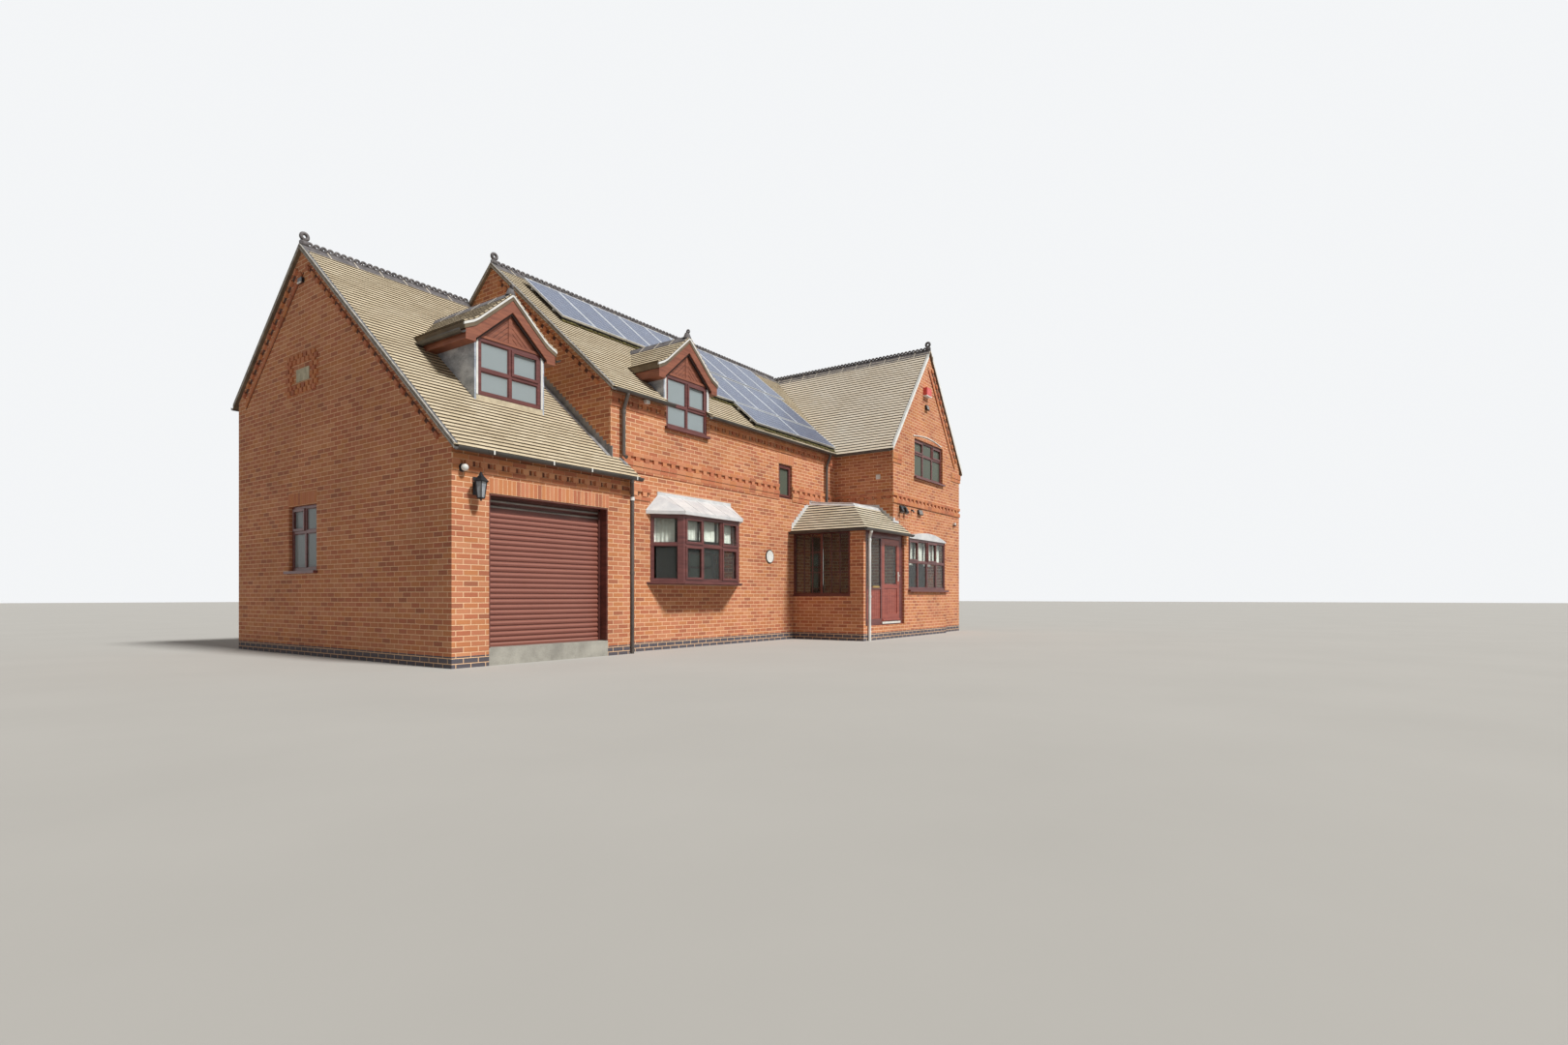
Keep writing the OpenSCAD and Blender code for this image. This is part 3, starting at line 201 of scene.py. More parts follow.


# brick laid to the real course height; the face turned inward is painted dark, a painted shade for the unlit rooms
# behind the walls
def brickwork(name, inward=None):
    tree, shade, place = blank(name, 0.88)
    x, y, z = split(tree, place)
    facing = get(tree, "ShaderNodeNewGeometry", output="Normal")
    nx, nz = split(tree, facing)[::2]
    side, flat = abs(nx) > 0.7, abs(nz) > 0.7
    level = (z - (origin.z + brick["start"])) / brick["height"]
    row = level.calc("FLOOR")
    run = (y * side + x * (1.0 - side)) / brick["length"] + row % 2.0 * 0.5

    def toEdge(value, size):
        part = value.calc("FRACT")
        return part.calc("MINIMUM", 1.0 - part) * size

    edge = toEdge(run, brick["length"]).calc("MINIMUM", toEdge(level, brick["height"]))
    edge = edge + (noise(tree, place, 45, 3) - 0.5) * 0.006
    joint = remap(tree, edge, brick["joint"] - 0.0015, brick["joint"] + 0.0015, 1.0, 0.0) * (1.0 - flat)
    tone = cellTone(tree, join(tree, run.calc("FLOOR"), row, side * 7.0))
    speck, cloud = noise(tree, place, 130, 3), noise(tree, place, 0.9, 4)
    face = ramp(tree, tone * 0.8 + speck * 0.25, brick["tones"])
    face = blend(tree, z < origin.z + brick["plinthTop"], face, ramp(tree, speck, brick["plinth"]))
    colour = blend(tree, joint, face, ramp(tree, speck, brick["mortar"]))
    colour = blend(tree, remap(tree, cloud, 0.4, 0.7, 0.0, 0.22), colour, rgb(120, 84, 66), "MULTIPLY")
    # painted shade: the inner face of a wall darkened
    if inward:
        turned = get(tree, "ShaderNodeVectorMath", {0: facing, 1: inward}, "Value", operation="DOT_PRODUCT")
        colour = blend(tree, turned > 0.7, colour, ramp(tree, cloud, brick["inside"]))
    link(colour, shade, "Base Color")
    setBump(shade, joint * -1.0 + speck * 0.35, 0.55, 0.006)


def looseBrick(name, tones):
    tree, shade, place = blank(name, 0.88)
    speck = noise(tree, place, 130, 3)
    link(ramp(tree, attribute(tree, "unitTone") * 0.8 + speck * 0.25, tones), shade, "Base Color")
    setBump(shade, speck, 0.3, 0.004)


# stops: tones of the clay; then the colour of the tile's lower edge, darkened with dirt and painted shade; shadow: a
# painted shadow on the part under the next course, from covered up
def tileClay(name, stops, tailDirtAndShade, shadow, covered=0.58):
    tree, shade, place = blank(name, 0.82)
    upTile = attribute(tree, "upTile")
    speck, cloud = noise(tree, place, 70, 4), noise(tree, place, 1.1, 5)
    colour = ramp(tree, attribute(tree, "unitTone") * 0.15 + (speck * 0.4 + cloud * 0.5), stops)
    # painted shadow under the next course's tail, then the tail face darkened with dirt and painted shade
    colour = blend(tree, remap(tree, upTile, covered, covered + 0.12, 0.0, 0.9), colour, rgb(*shadow), "MULTIPLY")
    colour = blend(tree, (upTile < 0.03) * 0.9, colour, rgb(*tailDirtAndShade))
    link(colour, shade, "Base Color")
    setBump(shade, speck, 0.35, 0.004)


# a tint and how much light goes through; where a ground colour is given, the panes beyond farX take it, a painted
# reflection of shaded ground; a shadow ray passes through
def windowGlass(name, tint, through, roughness, paintedGroundReflection=None, farX=4.5):
    tree, shade, place = blank(name, roughness)
    for key, value in (("Base Color", rgb(*tint)), ("Transmission Weight", through), ("IOR", 1.16)):
        shade.inputs[key].default_value = value
    if paintedGroundReflection:
        far = split(tree, place)[0] > origin.x + farX
        link(blend(tree, far, rgb(*tint), rgb(*paintedGroundReflection)), shade, "Base Color")
    setBump(shade, noise(tree, place, 1.6, 2), 0.03, 0.01)
    clear = get(tree, "ShaderNodeBsdfTransparent", {"Color": (0.93, 0.94, 0.94, 1)})
    daylight = get(tree, "ShaderNodeLightPath", output="Is Shadow Ray")
    mixed = get(tree, "ShaderNodeMixShader", {0: daylight, 1: Field(shade.outputs[0]), 2: clear})
    link(mixed, tree.nodes["Material Output"], "Surface")


roller = {"left": -2.515, "right": -0.32, "top": 2.175, "face": -0.105, "slat": 0.078, "rise": 0.011, "curtain": 24,
          "guide": 0.06, "front": -0.285, "foot": 0.06, "reveal": -0.135, "guideBack": -0.065, "headFace": -0.117,
          "headTall": 0.05, "board": 0.022, "drum": 0.06,
          # tones up each slat: painted shade on the lower part and a painted highlight on the upper part
          "tones": [(0.0, (112, 62, 52)), (0.1, (124, 70, 58)), (0.5, (130, 77, 65)), (0.74, (158, 104, 90)),
                    (0.93, (164, 110, 96)), (0.99, (112, 62, 52))]}


# each slat lighter at its top and darker at its foot, a painted highlight and painted shade, under a cloud of wear
def slatSteelPaintedLight(name):
    tree, shade, place = blank(name, 0.42, coat=0.1)
    within = ((split(tree, place)[2] - (origin.z + roller["foot"])) / roller["slat"]).calc("FRACT")
    face, cloud = ramp(tree, within, roller["tones"]), noise(tree, place, 3.0, 4)
    link(blend(tree, cloud * 0.3, face, rgb(196, 176, 170), "MULTIPLY"), shade, "Base Color")
    setBump(shade, noise(tree, place, 60, 3), 0.05, 0.002)


# dark cells with fine silver lines, on the panel's own map
def solarFace(name):
    tree, shade, place = blank(name, 0.3)
    shade.inputs["Specular IOR Level"].default_value = 0.25
    u, v = split(tree, get(tree, "ShaderNodeUVMap"))[:2]

    def line(value, width):
        part = value.calc("FRACT")
        return part.calc("MINIMUM", 1.0 - part) < width

    cells = line(u, 0.03).calc("MAXIMUM", line(v, 0.03))
    tone = cellTone(tree, join(tree, u.calc("FLOOR"), v.calc("FLOOR")))
    blue = ramp(tree, tone * 0.4 + noise(tree, place, 60, 3) * 0.6, [(0.2, (52, 62, 92)), (0.8, (76, 90, 122))])
    blue = blend(tree, line(u * 3.0, 0.05), blue, rgb(92, 102, 124))
    link(blend(tree, cells, blue, rgb(176, 182, 192)), shade, "Base Color")
    setBump(shade, cells, 0.1, 0.001)


def sandTones(*tones):
    return list(zip((0.25, 0.45, 0.6, 0.8), tones))


plainTiles = sandTones((178, 159, 130), (204, 186, 156), (218, 201, 172), (232, 218, 192))
# a paler copy of the tile tones, painted light for the wing's steep slopes, which face away from the key
paintedLitTones = sandTones((216, 200, 176), (236, 221, 199), (244, 231, 211), (250, 240, 224))
greyTiles = sandTones((190, 174, 148), (214, 200, 174), (228, 215, 191), (240, 230, 210))
upright, even = (1, 1, 9), (1, 1, 1)
mottledFinishes = {  # dark and light tone, scale, roughness, bump, grain, stretch, metal, coat
    "roofDeck": ((96, 82, 66), (126, 110, 90), 3, 0.85),
    "ridgeClay": ((70, 66, 68), (116, 110, 110), 9, 0.7, 0.35, 60),
    "mortar": ((196, 184, 166), (228, 219, 204), 14, 0.9, 0.5, 120),
    "vergeGrey": ((142, 137, 130), (196, 190, 182), 14, 0.9, 0.5, 120),
    "mortarRed": ((222, 178, 138), (244, 204, 164), 14, 0.9, 0.4, 120),
    "sandMortar": ((176, 162, 138), (208, 194, 168), 9, 0.85, 0.3),
    # dark finish for painted shadows beside the dentils
    "paintedGapShadow": ((92, 54, 40), (124, 78, 58), 14, 0.9, 0.3, 120),
    # dark finish for painted shadows along the rakes
    "paintedRakeShadow": ((70, 42, 32), (96, 62, 48), 14, 0.9, 0.3, 120),
    "deepShade": ((34, 18, 15), (54, 32, 27), 8, 0.9, 0.2),
    "leadSheet": ((96, 98, 104), (158, 158, 160), 4, 0.55, 0.3, 90, even, 0.2),
    "leadWorn": ((112, 110, 114), (168, 164, 162), 6, 0.6, 0.3, 90, even, 0.1),
    "leadPale": ((196, 196, 198), (222, 221, 220), 5, 0.5, 0.15, 90, even, 0.05),
    "leadDark": ((70, 70, 74), (112, 112, 114), 5, 0.6, 0.3, 90, even, 0.15),
    "cheekLead": ((138, 146, 160), (204, 210, 220), 3, 0.55, 0.3, 30, (1, 1, 2.2), 0.05),
    "boardPaint": ((116, 64, 46), (150, 90, 66), 3, 0.55, 0.25, 40, (1, 1, 8)),
    "boardDark": ((96, 44, 34), (150, 82, 60), 5, 0.6, 0.3, 50, (3, 3, 1)),
    "revealBoard": ((84, 44, 38), (116, 64, 54), 3, 0.5, 0.2, 60, (1, 1, 6)),
    "rollerShade": ((70, 34, 30), (96, 50, 42), 3, 0.5, 0.15, 60, (1, 1, 6)),
    "doorPaint": ((132, 58, 48), (162, 84, 68), 3, 0.45, 0.15, 60, upright, 0, 0.1),
    "rosewood": ((84, 40, 38), (114, 62, 57), 3, 0.42, 0.15, 60, upright, 0, 0.15),
    "floorBoards": ((96, 74, 52), (124, 98, 70), 2, 0.6, 0.2, 40, (0.5, 9, 1)),
    "gutterGrey": ((52, 48, 45), (84, 79, 74), 5, 0.4, 0.1, 90, (0.4, 1, 1), 0, 0.15),
    "pipeBrown": ((62, 54, 50), (96, 86, 80), 5, 0.38, 0.1, 90, (1, 1, 0.3), 0, 0.2),
    "paleDrain": ((206, 204, 200), (232, 231, 228), 5, 0.45, 0.1),
    "greySeal": ((112, 106, 102), (150, 144, 138), 8, 0.5, 0.1, 90, (0.3, 1, 1)),
    "palePlate": ((206, 204, 196), (236, 234, 228), 10, 0.3, 0.08, 90, even, 0, 0.2),
    "brightMetal": ((188, 192, 198), (222, 225, 230), 20, 0.35, 0.05, 90, even, 0.5),
    "brassWork": ((176, 138, 74), (222, 190, 118), 16, 0.3, 0.1, 90, even, 0.8),
    "blackMetal": ((26, 26, 28), (56, 56, 60), 12, 0.4, 0.2, 90, even, 0.4),
    "whitePlastic": ((214, 213, 208), (238, 237, 233), 8, 0.4, 0.08),
    "redPlastic": ((204, 66, 66), (226, 104, 98), 8, 0.4, 0.08),
    "lampGlass": ((124, 128, 136), (164, 168, 172), 10, 0.15, 0.1, 90, even, 0, 0.3),
    "paleStone": ((176, 168, 142), (214, 206, 182), 9, 0.85, 0.6, 70),
    "concrete": ((142, 138, 130), (176, 172, 162), 3, 0.9, 0.4),
    "moss": ((66, 62, 34), (120, 112, 66), 18, 0.95, 0.8, 60),
    "blindCloth": ((222, 220, 212), (244, 243, 238), 6, 0.85, 0.3, 200, (1, 1, 14)),
}
for name, row in mottledFinishes.items():
    mottled(name, *row)
for name, inward in (("brickFront", (0, 1, 0)), ("brickBack", (0, -1, 0)), ("brickLeft", (1, 0, 0)),
                     ("brickRight", (-1, 0, 0)), ("brickAll", None)):
    brickwork(name, inward)
looseBrick("brickUnit", brick["tones"])
# a lighter copy of the brick, painted light for the garage dentils in the eaves' shade
looseBrick("paintedLitBrick", [(0.1, (206, 134, 98)), (0.9, (232, 168, 124))])
# tile finishes: clay tones, the tail's dirt and painted shade, and the painted shadow under each course
tileClay("tile", plainTiles, (70, 57, 42), (78, 64, 48))
tileClay("paintedLitTile", paintedLitTones, (84, 70, 54), (92, 77, 60))
tileClay("porchTile", greyTiles, (60, 52, 42), (62, 54, 44), 0.46)
slatSteelPaintedLight("rollerSteel")
windowGlass("glass", (206, 210, 205), 0.97, 0.02)
# upper panes: the pale tint is a painted sky reflection, darker beyond farX as a painted reflection of shaded ground
windowGlass("paintedSkyGlass", (172, 181, 184), 0.4, 0.04, (112, 118, 106))
solarFace("solarCell")
print("finishes made:", len(finishes))


# every piece is worked in house lengths and moved by the origin at the end
def newMeshes(count):
    return [bmesh.new() for k in range(count)]


def slab(bm, x, y, z, turn=None):
    size = Matrix.Diagonal((x[1] - x[0], y[1] - y[0], z[1] - z[0], 1))
    middle = Matrix.Translation(((x[0] + x[1]) / 2, (y[0] + y[1]) / 2, (z[0] + z[1]) / 2))
    bmesh.ops.create_cube(bm, size=1, matrix=(turn or Matrix()) @ middle @ size)


# four bars round an opening; the level pair runs through
def bars(bm, x, y, z, size, turn=None, ends=None):
    left, right = ends or (size, size)
    low, high = z[0] + size, z[1] - size
    slabs(bm, (x, y, (z[0], low)), (x, y, (high, z[1])), ((x[0], x[0] + left), y, (low, high)),
          ((x[1] - right, x[1]), y, (low, high)), turn=turn)


def slabs(bm, *rows, turn=None):
    for row in rows:
        slab(bm, *row, turn)


# closes a stack of outlines into one solid
def skin(bm, rings, capped=True):
    count, pairs = len(rings[0]), list(zip(rings, rings[1:]))
    faces = [bm.faces.new(rings[0][::-1]), bm.faces.new(rings[-1])] if capped else []
    for low, high in pairs if capped else pairs + [(rings[-1], rings[0])]:
        for k in range(count):
            m = (k + 1) % count
            faces.append(bm.faces.new((low[k], low[m], high[m], high[k])))
    bmesh.ops.recalc_face_normals(bm, faces=faces)


# an outline of two lengths pushed along x, y or z
def prism(bm, outline, low, high, axis, turn=None):
    def point(a, b, depth):
        spot = Vector({"x": (depth, a, b), "y": (a, depth, b), "z": (a, b, depth)}[axis])
        return turn @ spot if turn else spot
    skin(bm, [[bm.verts.new(point(*pair, depth)) for pair in outline] for depth in (low, high)])


def circle(sides):
    return [(math.cos(math.tau * k / sides), math.sin(math.tau * k / sides)) for k in range(sides)]


# a round bar along a path, with closed ends
def tube(bm, path, radius, sides=12):
    path = [Vector(p) for p in path]
    rings, across = [], None
    for i, p in enumerate(path):
        ahead = (path[min(i + 1, len(path) - 1)] - path[max(i - 1, 0)]).normalized()
        if across is None:
            across = ahead.to_track_quat("Z", "Y") @ Vector((1, 0, 0))
        across = (across - ahead * across.dot(ahead)).normalized()  # carried on, so the bar never twists
        third = ahead.cross(across)
        wide = radius[i] if isinstance(radius, (list, tuple)) else radius
        rings.append([bm.verts.new(p + across * (wide * c) + third * (wide * d)) for c, d in circle(sides)])
    skin(bm, rings)


# heights and radii turned round an upright axis
def lathe(bm, centre, profile, sides=24):
    tube(bm, [Vector(centre) + Vector((0, 0, z)) for z, r in profile], [max(r, 0.001) for z, r in profile], sides)


def torus(bm, radius, wire, rounds, sides, turn=Matrix()):
    skin(bm, [[bm.verts.new(turn @ Vector(((radius + wire * c) * e, wire * d, (radius + wire * c) * f)))
               for c, d in circle(sides)] for e, f in circle(rounds)], False)


def leadSheet(bm, corners, thick):
    skin(bm, [[bm.verts.new(Vector(c) + Vector((0, 0, rise))) for c in corners] for rise in (0, thick)])


def linkObject(name, data):
    thing = bpy.data.objects.new(name, data)
    bpy.context.scene.collection.objects.link(thing)
    return thing


def toObject(bm, name):
    mesh = bpy.data.meshes.new(name)
    bm.to_mesh(mesh)
    bm.free()
    return linkObject(name, mesh)


def makePiece(bm, name, finish, body="house", replaces=(), bevel=0.0, smooth=False):
    bmesh.ops.transform(bm, matrix=Matrix.Translation(origin), verts=bm.verts)
    piece = toObject(bm, name)
    piece.data.materials.append(finishes[finish])
    if bevel:
        mod = piece.modifiers.new("softEdges", "BEVEL")
        mod.width, mod.segments, mod.limit_method = bevel, 2, "ANGLE"
    for face in piece.data.polygons:
        face.use_smooth = smooth
    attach(piece, body)
    if replaces:
        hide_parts(*replaces)
    return piece


# adds one mesh to another and frees it
def pour(part, whole):
    mesh = bpy.data.meshes.new("part")
    part.to_mesh(mesh)
    part.free()
    whole.from_mesh(mesh)
    bpy.data.meshes.remove(mesh)


def startTree(name, *sockets):
    tree = bpy.data.node_groups.new(name, "GeometryNodeTree")
    tree.interface.new_socket("Geometry", in_out="OUTPUT", socket_type="NodeSocketGeometry")
    for label, kind in sockets + (("Seed", "Int"), ("Material", "Material")):
        tree.interface.new_socket(label, in_out="INPUT", socket_type="NodeSocket" + kind)
    return tree, {out.name: Field(out) for out in addNode(tree, "NodeGroupInput").outputs if out.name}


def store(tree, geometry, name, value, domain):
    return get(tree, "GeometryNodeStoreNamedAttribute", {"Geometry": geometry, "Name": name, "Value": value},
               data_type="FLOAT", domain=domain)


# a tone for each copy, then real geometry with its finish
def endTree(tree, instances, given):
    tone = get(tree, "FunctionNodeRandomValue", {2: 0.0, 3: 1.0, 8: given["Seed"]}, 1, data_type="FLOAT")
    real = get(tree, "GeometryNodeRealizeInstances", {0: store(tree, instances, "unitTone", tone, "INSTANCE")})
    painted = get(tree, "GeometryNodeSetMaterial", {"Geometry": real, "Material": given["Material"]})
    addNode(tree, "NodeGroupOutput", {0: painted})
    return tree


# adds the tree's result to a mesh
def runTree(bm, tree, values):
    holder = linkObject("holder", bpy.data.meshes.new("holder"))
    mod = holder.modifiers.new("tree", "NODES")
    mod.node_group = tree
    for item in tree.interface.items_tree:
        if item.in_out == "INPUT":
            mod[item.identifier] = values[item.name]
    graph = bpy.context.evaluated_depsgraph_get()
    mesh = bpy.data.meshes.new_from_object(holder.evaluated_get(graph))
    bpy.data.objects.remove(holder)
    bm.from_mesh(mesh)
    bpy.data.meshes.remove(mesh)


def vectorMath(tree, operation, inputs):
    return get(tree, "ShaderNodeVectorMath", inputs, operation=operation)


def spreadVector(tree, amount, seed, axes=(1, 1, 1)):
    high = vectorMath(tree, "SCALE", {0: axes, "Scale": amount})
    low = vectorMath(tree, "SCALE", {0: high, "Scale": -1.0})
    return get(tree, "FunctionNodeRandomValue", {0: low, 1: high, 8: seed}, data_type="FLOAT_VECTOR")


# courses of plain tiles from the eaves up, every other course half a tile along
def makeTileField():
    tree, given = startTree("tileField", ("Rows", "Int"), ("Columns", "Int"), ("Gauge", "Float"), ("Width", "Float"),
                            ("Thickness", "Float"))
    rows, columns, gauge, wide, thick, seed = (
        given[k] for k in ("Rows", "Columns", "Gauge", "Width", "Thickness", "Seed"))
    sizeX, sizeY = (columns - 1.0) * wide, (rows - 1.0) * gauge
    spread = {"Vertices X": columns, "Vertices Y": rows, "Size X": sizeX, "Size Y": sizeY}
    grid = get(tree, "GeometryNodeMeshGrid", spread)
    y, z = split(tree, get(tree, "GeometryNodeInputPosition"))[1:]
    odd = ((y + sizeY * 0.5) / gauge).calc("ROUND") % 2.0
    shift = join(tree, sizeX * 0.5 + odd * (wide * 0.5), sizeY * 0.5)
    jitter = spreadVector(tree, 0.001, seed, (0.4, 1.0, 0.8))

    def move(geometry, offset, chosen=True):
        return get(tree, "GeometryNodeSetPosition", {"Geometry": geometry, "Selection": chosen, "Offset": offset})

    points = move(get(tree, "GeometryNodeMeshToPoints", {0: grid}), vectorMath(tree, "ADD", {0: shift, 1: jitter}))
    long = gauge * 1.2
    tile = get(tree, "GeometryNodeMeshCube", {"Size": join(tree, wide - 0.0025, long, thick)})
    tile = move(tile, join(tree, z=thick * -0.82), (y > 0.0) * (z > 0.0))
    tile = store(tree, tile, "upTile", y / long + 0.5, "POINT")
    tile = move(tile, join(tree, 0.0, gauge * 0.6, thick * 0.5))
    lean = spreadVector(tree, 0.004, seed, (0.6, 1.0, 0.6))
    copies = get(tree, "GeometryNodeInstanceOnPoints", {"Points": points, "Instance": tile, "Rotation": lean})
    return endTree(tree, copies, given)


# a straight row of one unit, or else of squared blocks, each a little off in size
def makeRow(name, *sockets):
    vectors = [(label, "Vector") for label in ("Start", "Step", "Turn")]
    tree, given = startTree(name, ("Count", "Int"), *vectors, *sockets)
    line = get(tree, "GeometryNodeMeshLine", {"Count": given["Count"], "Start Location": given["Start"],
                                              "Offset": given["Step"]}, mode="OFFSET")
    if "Unit" in given:
        unit, scale = get(tree, "GeometryNodeObjectInfo", {"Object": given["Unit"]}, "Geometry"), (1, 1, 1)
    else:
        unit = get(tree, "GeometryNodeMeshCube", {"Size": given["Size"]})
        scale = vectorMath(tree, "ADD", {0: spreadVector(tree, given["Jitter"], given["Seed"]), 1: (1, 1, 1)})
    copies = get(tree, "GeometryNodeInstanceOnPoints", {"Points": line, "Instance": unit, "Rotation": given["Turn"],
                                                        "Scale": scale})
    return endTree(tree, copies, given)


tileTree, unitTree = makeTileField(), makeRow("unitRow", ("Unit", "Object"))
blockTree = makeRow("blockRow", ("Size", "Vector"), ("Jitter", "Float"))


def addUnits(bm, unit, count, start, step, turn=(0, 0, 0), seed=1, finish="ridgeClay"):
    runTree(bm, unitTree, {"Unit": unit, "Count": count, "Start": start, "Step": step, "Turn": turn, "Seed": seed,
                           "Material": finishes[finish]})


def addBlocks(bm, count, start, step, size, turn=(0, 0, 0), jitter=0.0, seed=1, finish="brickUnit"):
    runTree(bm, blockTree, {"Count": count, "Start": start, "Step": step, "Size": size, "Turn": turn,
                            "Jitter": jitter, "Seed": seed, "Material": finishes[finish]})


# takes off what lies on the normal's side of a plane and closes the cut
def cutAway(bm, point, normal):
    cut = bmesh.ops.bisect_plane(bm, geom=bm.verts[:] + bm.edges[:] + bm.faces[:], plane_co=Vector(point),
                                 plane_no=Vector(normal).normalized(), clear_outer=True, dist=1e-5)
    rim = [e for e in cut["geom_cut"] if isinstance(e, bmesh.types.BMEdge) and e.is_valid and e.is_boundary]
    if rim:
        bmesh.ops.holes_fill(bm, edges=rim, sides=0)


# roof tiles, in true courses over each slope
tiles = {"gauge": 0.1, "width": 0.165, "thickness": 0.017, "overhang": 0.014, "lift": 0.003}


def slopeFrame(foot, along, slope):
    along = Vector(along)
    level = Vector((0, 0, 1)).cross(along)
    angle = math.atan(slope)
    up = level * math.cos(angle) + Vector((0, 0, math.sin(angle)))
    matrix = Matrix((along, up, along.cross(up))).transposed().to_4x4()
    matrix.translation = Vector(foot)
    return matrix, up


# clips: points and normals of cutting planes; holes: left, right, near and far edges
def tileSlope(target, finish, seed, foot, along, slope, length, run, clips=(), holes=(), overhang=tiles["overhang"]):
    gauge, width = tiles["gauge"], tiles["width"]
    reach = run * math.sqrt(1 + slope * slope)
    bm = bmesh.new()
    runTree(bm, tileTree, {"Rows": math.ceil((reach + overhang) / gauge), "Columns": math.ceil(length / width) + 2,
                           "Gauge": gauge, "Width": width, "Thickness": tiles["thickness"], "Seed": seed,
                           "Material": finishes[finish]})
    turn, up = slopeFrame(foot, along, slope)
    bmesh.ops.translate(bm, vec=(-width / 2, -overhang, tiles["lift"]), verts=bm.verts)
    bmesh.ops.transform(bm, matrix=turn, verts=bm.verts)
    bm.verts.ensure_lookup_table()
    gone = []
    for k in range(0, len(bm.verts), 8):
        tile = bm.verts[k:k + 8]
        middle = sum((v.co for v in tile), Vector()) / 8
        if any(a < middle.x < b and c < middle.y < d for a, b, c, d in holes):
            gone += tile
    bmesh.ops.delete(bm, geom=gone, context="VERTS")
    along, foot = Vector(along), Vector(foot)
    for plane in [(foot, -along), (foot + along * length, along), (foot + up * reach, up), *clips]:
        cutAway(bm, *plane)
    pour(bm, target)


def tileRoof(name, finish, *slopes):
    bm = bmesh.new()
    for slope in slopes:
        tileSlope(bm, finish, *slope)
    makePiece(bm, name, finish)


def dormerHole(d, near, far):
    return d["x"] - 0.6, d["x"] + 0.6, near, far


mainRun, wingRun = h["ridgeY"] - h["frontEave"], h["wingRidge"] - h["wingEave"]
mainLong, wingLong = h["wingRidge"] - h["mainVerge"], h["backVerge"] - h["wingVerge"]
frontValley, backValley = [((h["wingEave"], h[eave], 0), Vector((mainRun, side * wingRun, 0)))
                           for eave, side in (("frontEave", -1), ("backEave", 1))]
east, west, north, south = (1, 0, 0), (-1, 0, 0), (0, 1, 0), (0, -1, 0)
backFoot, wingFoot = (h["wingRidge"], h["backEave"], h["eaveZ"]), (h["wingEave"], h["backVerge"], h["eaveZ"])

tileRoof("mainFrontTiles", "tile",
         (11, (h["mainVerge"], h["frontEave"], h["eaveZ"]), east, h["slope"], mainLong, mainRun, [frontValley],
          [dormerHole(dormers[1], -1.0, 0.56)]))
tileRoof("garageFrontTiles", "tile",
         (12, (h["leftVerge"], h["garageEaveY"], h["garageEaveZ"]), east, h["slope"], 0.27 - h["leftVerge"],
          h["garageRidgeY"] - h["garageEaveY"], [], [(-0.05, 1, -0.02, 9), dormerHole(dormers[0], 0.8, 1.85)]))
tileRoof("backTiles", "tile", (13, backFoot, west, h["slope"], mainLong, mainRun, [backValley]),
         (13, backFoot, west, h["slope"], h["wingRidge"] - h["leftVerge"], h["backEave"] - h["garageRidgeY"],
          [((h["mainVerge"], 0, 0), east)]))
# the wing takes the paler tile copy, painted light
tileRoof("wingTiles", "paintedLitTile", *[(seed, wingFoot, south, h["wingSlope"], wingLong, wingRun, [(point, -normal)])
                                    for seed, (point, normal) in ((14, frontValley), (15, backValley))],
         (16, (h["wingRightEave"], h["wingVerge"], h["eaveZ"]), north, h["wingSlope"], wingLong, wingRun))

porch = {"left": 5.5, "front": -1.94, "right": 7.79, "eaveZ": 2.23, "run": 0.7025, "slope": 0.8541, "wall": 7.49,
         "wingFront": -1.625, "wallRun": 0.85, "topZ": 2.83, "topRise": 0.126}
p = porch
topEdge = p["front"] + p["run"]
hip, hipSide = (p["left"], p["front"], 0), Vector((1, -1, 0))
leadTop = ((0, topEdge, p["topZ"] + 0.012), Vector((0, p["topRise"] / topEdge, 1)))
tileRoof("porchTiles", "porchTile",
         (21, (p["left"], -0.001, p["eaveZ"]), south, p["slope"], -p["front"], p["wallRun"], [(hip, hipSide), leadTop]),
         (22, (p["left"], p["front"], p["eaveZ"]), east, p["slope"], p["right"] - p["left"], p["run"],
          [(hip, -hipSide)], [(p["wall"] + 0.02, 9, p["wingFront"] - 0.02, 9)]))

hostPlane = {"garage": ((0, h["garageEaveY"], h["garageEaveZ"]), (0, h["slope"], -1)),
             "main": ((0, h["frontEave"], h["eaveZ"]), (0, h["slope"], -1))}


# how far a dormer's roof lies below its ridge, at a distance from it
def dormerDrop(u):
    return s["slope"] * u if u < s["knee"] else s["slope"] * s["knee"] + s["flare"] * (u - s["knee"])


def dormerSlopes(deep=2.4):
    for d in dormers:
        for side in (-1, 1):
            start = d["y"] - s["verge"] + (0 if side > 0 else deep)
            for low, high, slope, overhang in ((s["half"], s["knee"], s["flare"], tiles["overhang"]),
                                               (s["knee"], 0.0, s["slope"], 0.0)):
                foot = (d["x"] + side * low, start, d["head"] + s["rise"] - dormerDrop(low))
                yield 31 + side, foot, (0, side, 0), slope, deep, low - high, [hostPlane[d["host"]]], [], overhang


tileRoof("dormerTiles", "tile", *dormerSlopes())
print("roof tiled")

# ridge caps with pale joints, a crest of loops and a finial at each gable
ridge = {"unit": 0.45, "half": 0.15, "thick": 0.026, "joint": 0.018, "ring": 0.034, "wire": 0.024, "rings": 4,
         "finialRing": 0.052, "finialWire": 0.03, "finialHeight": 0.255}
caps, joints, crests, loop = newMeshes(4)
torus(loop, ridge["ring"], ridge["wire"], 14, 6)
loop = toObject(loop, "loopUnit")


def capOutline(slope, grow=0.0):
    half, thick = ridge["half"] + grow, ridge["thick"] + grow
    outer = [(u, thick + rise - abs(u) * slope)
             for u, rise in ((-half, 0), (-0.05, 0.004), (0, 0.01), (0.05, 0.004), (half, 0))]
    return outer + [(half - 0.004, 0.0005 - half * slope), (0, 0.0005), (0.004 - half, 0.0005 - half * slope)]


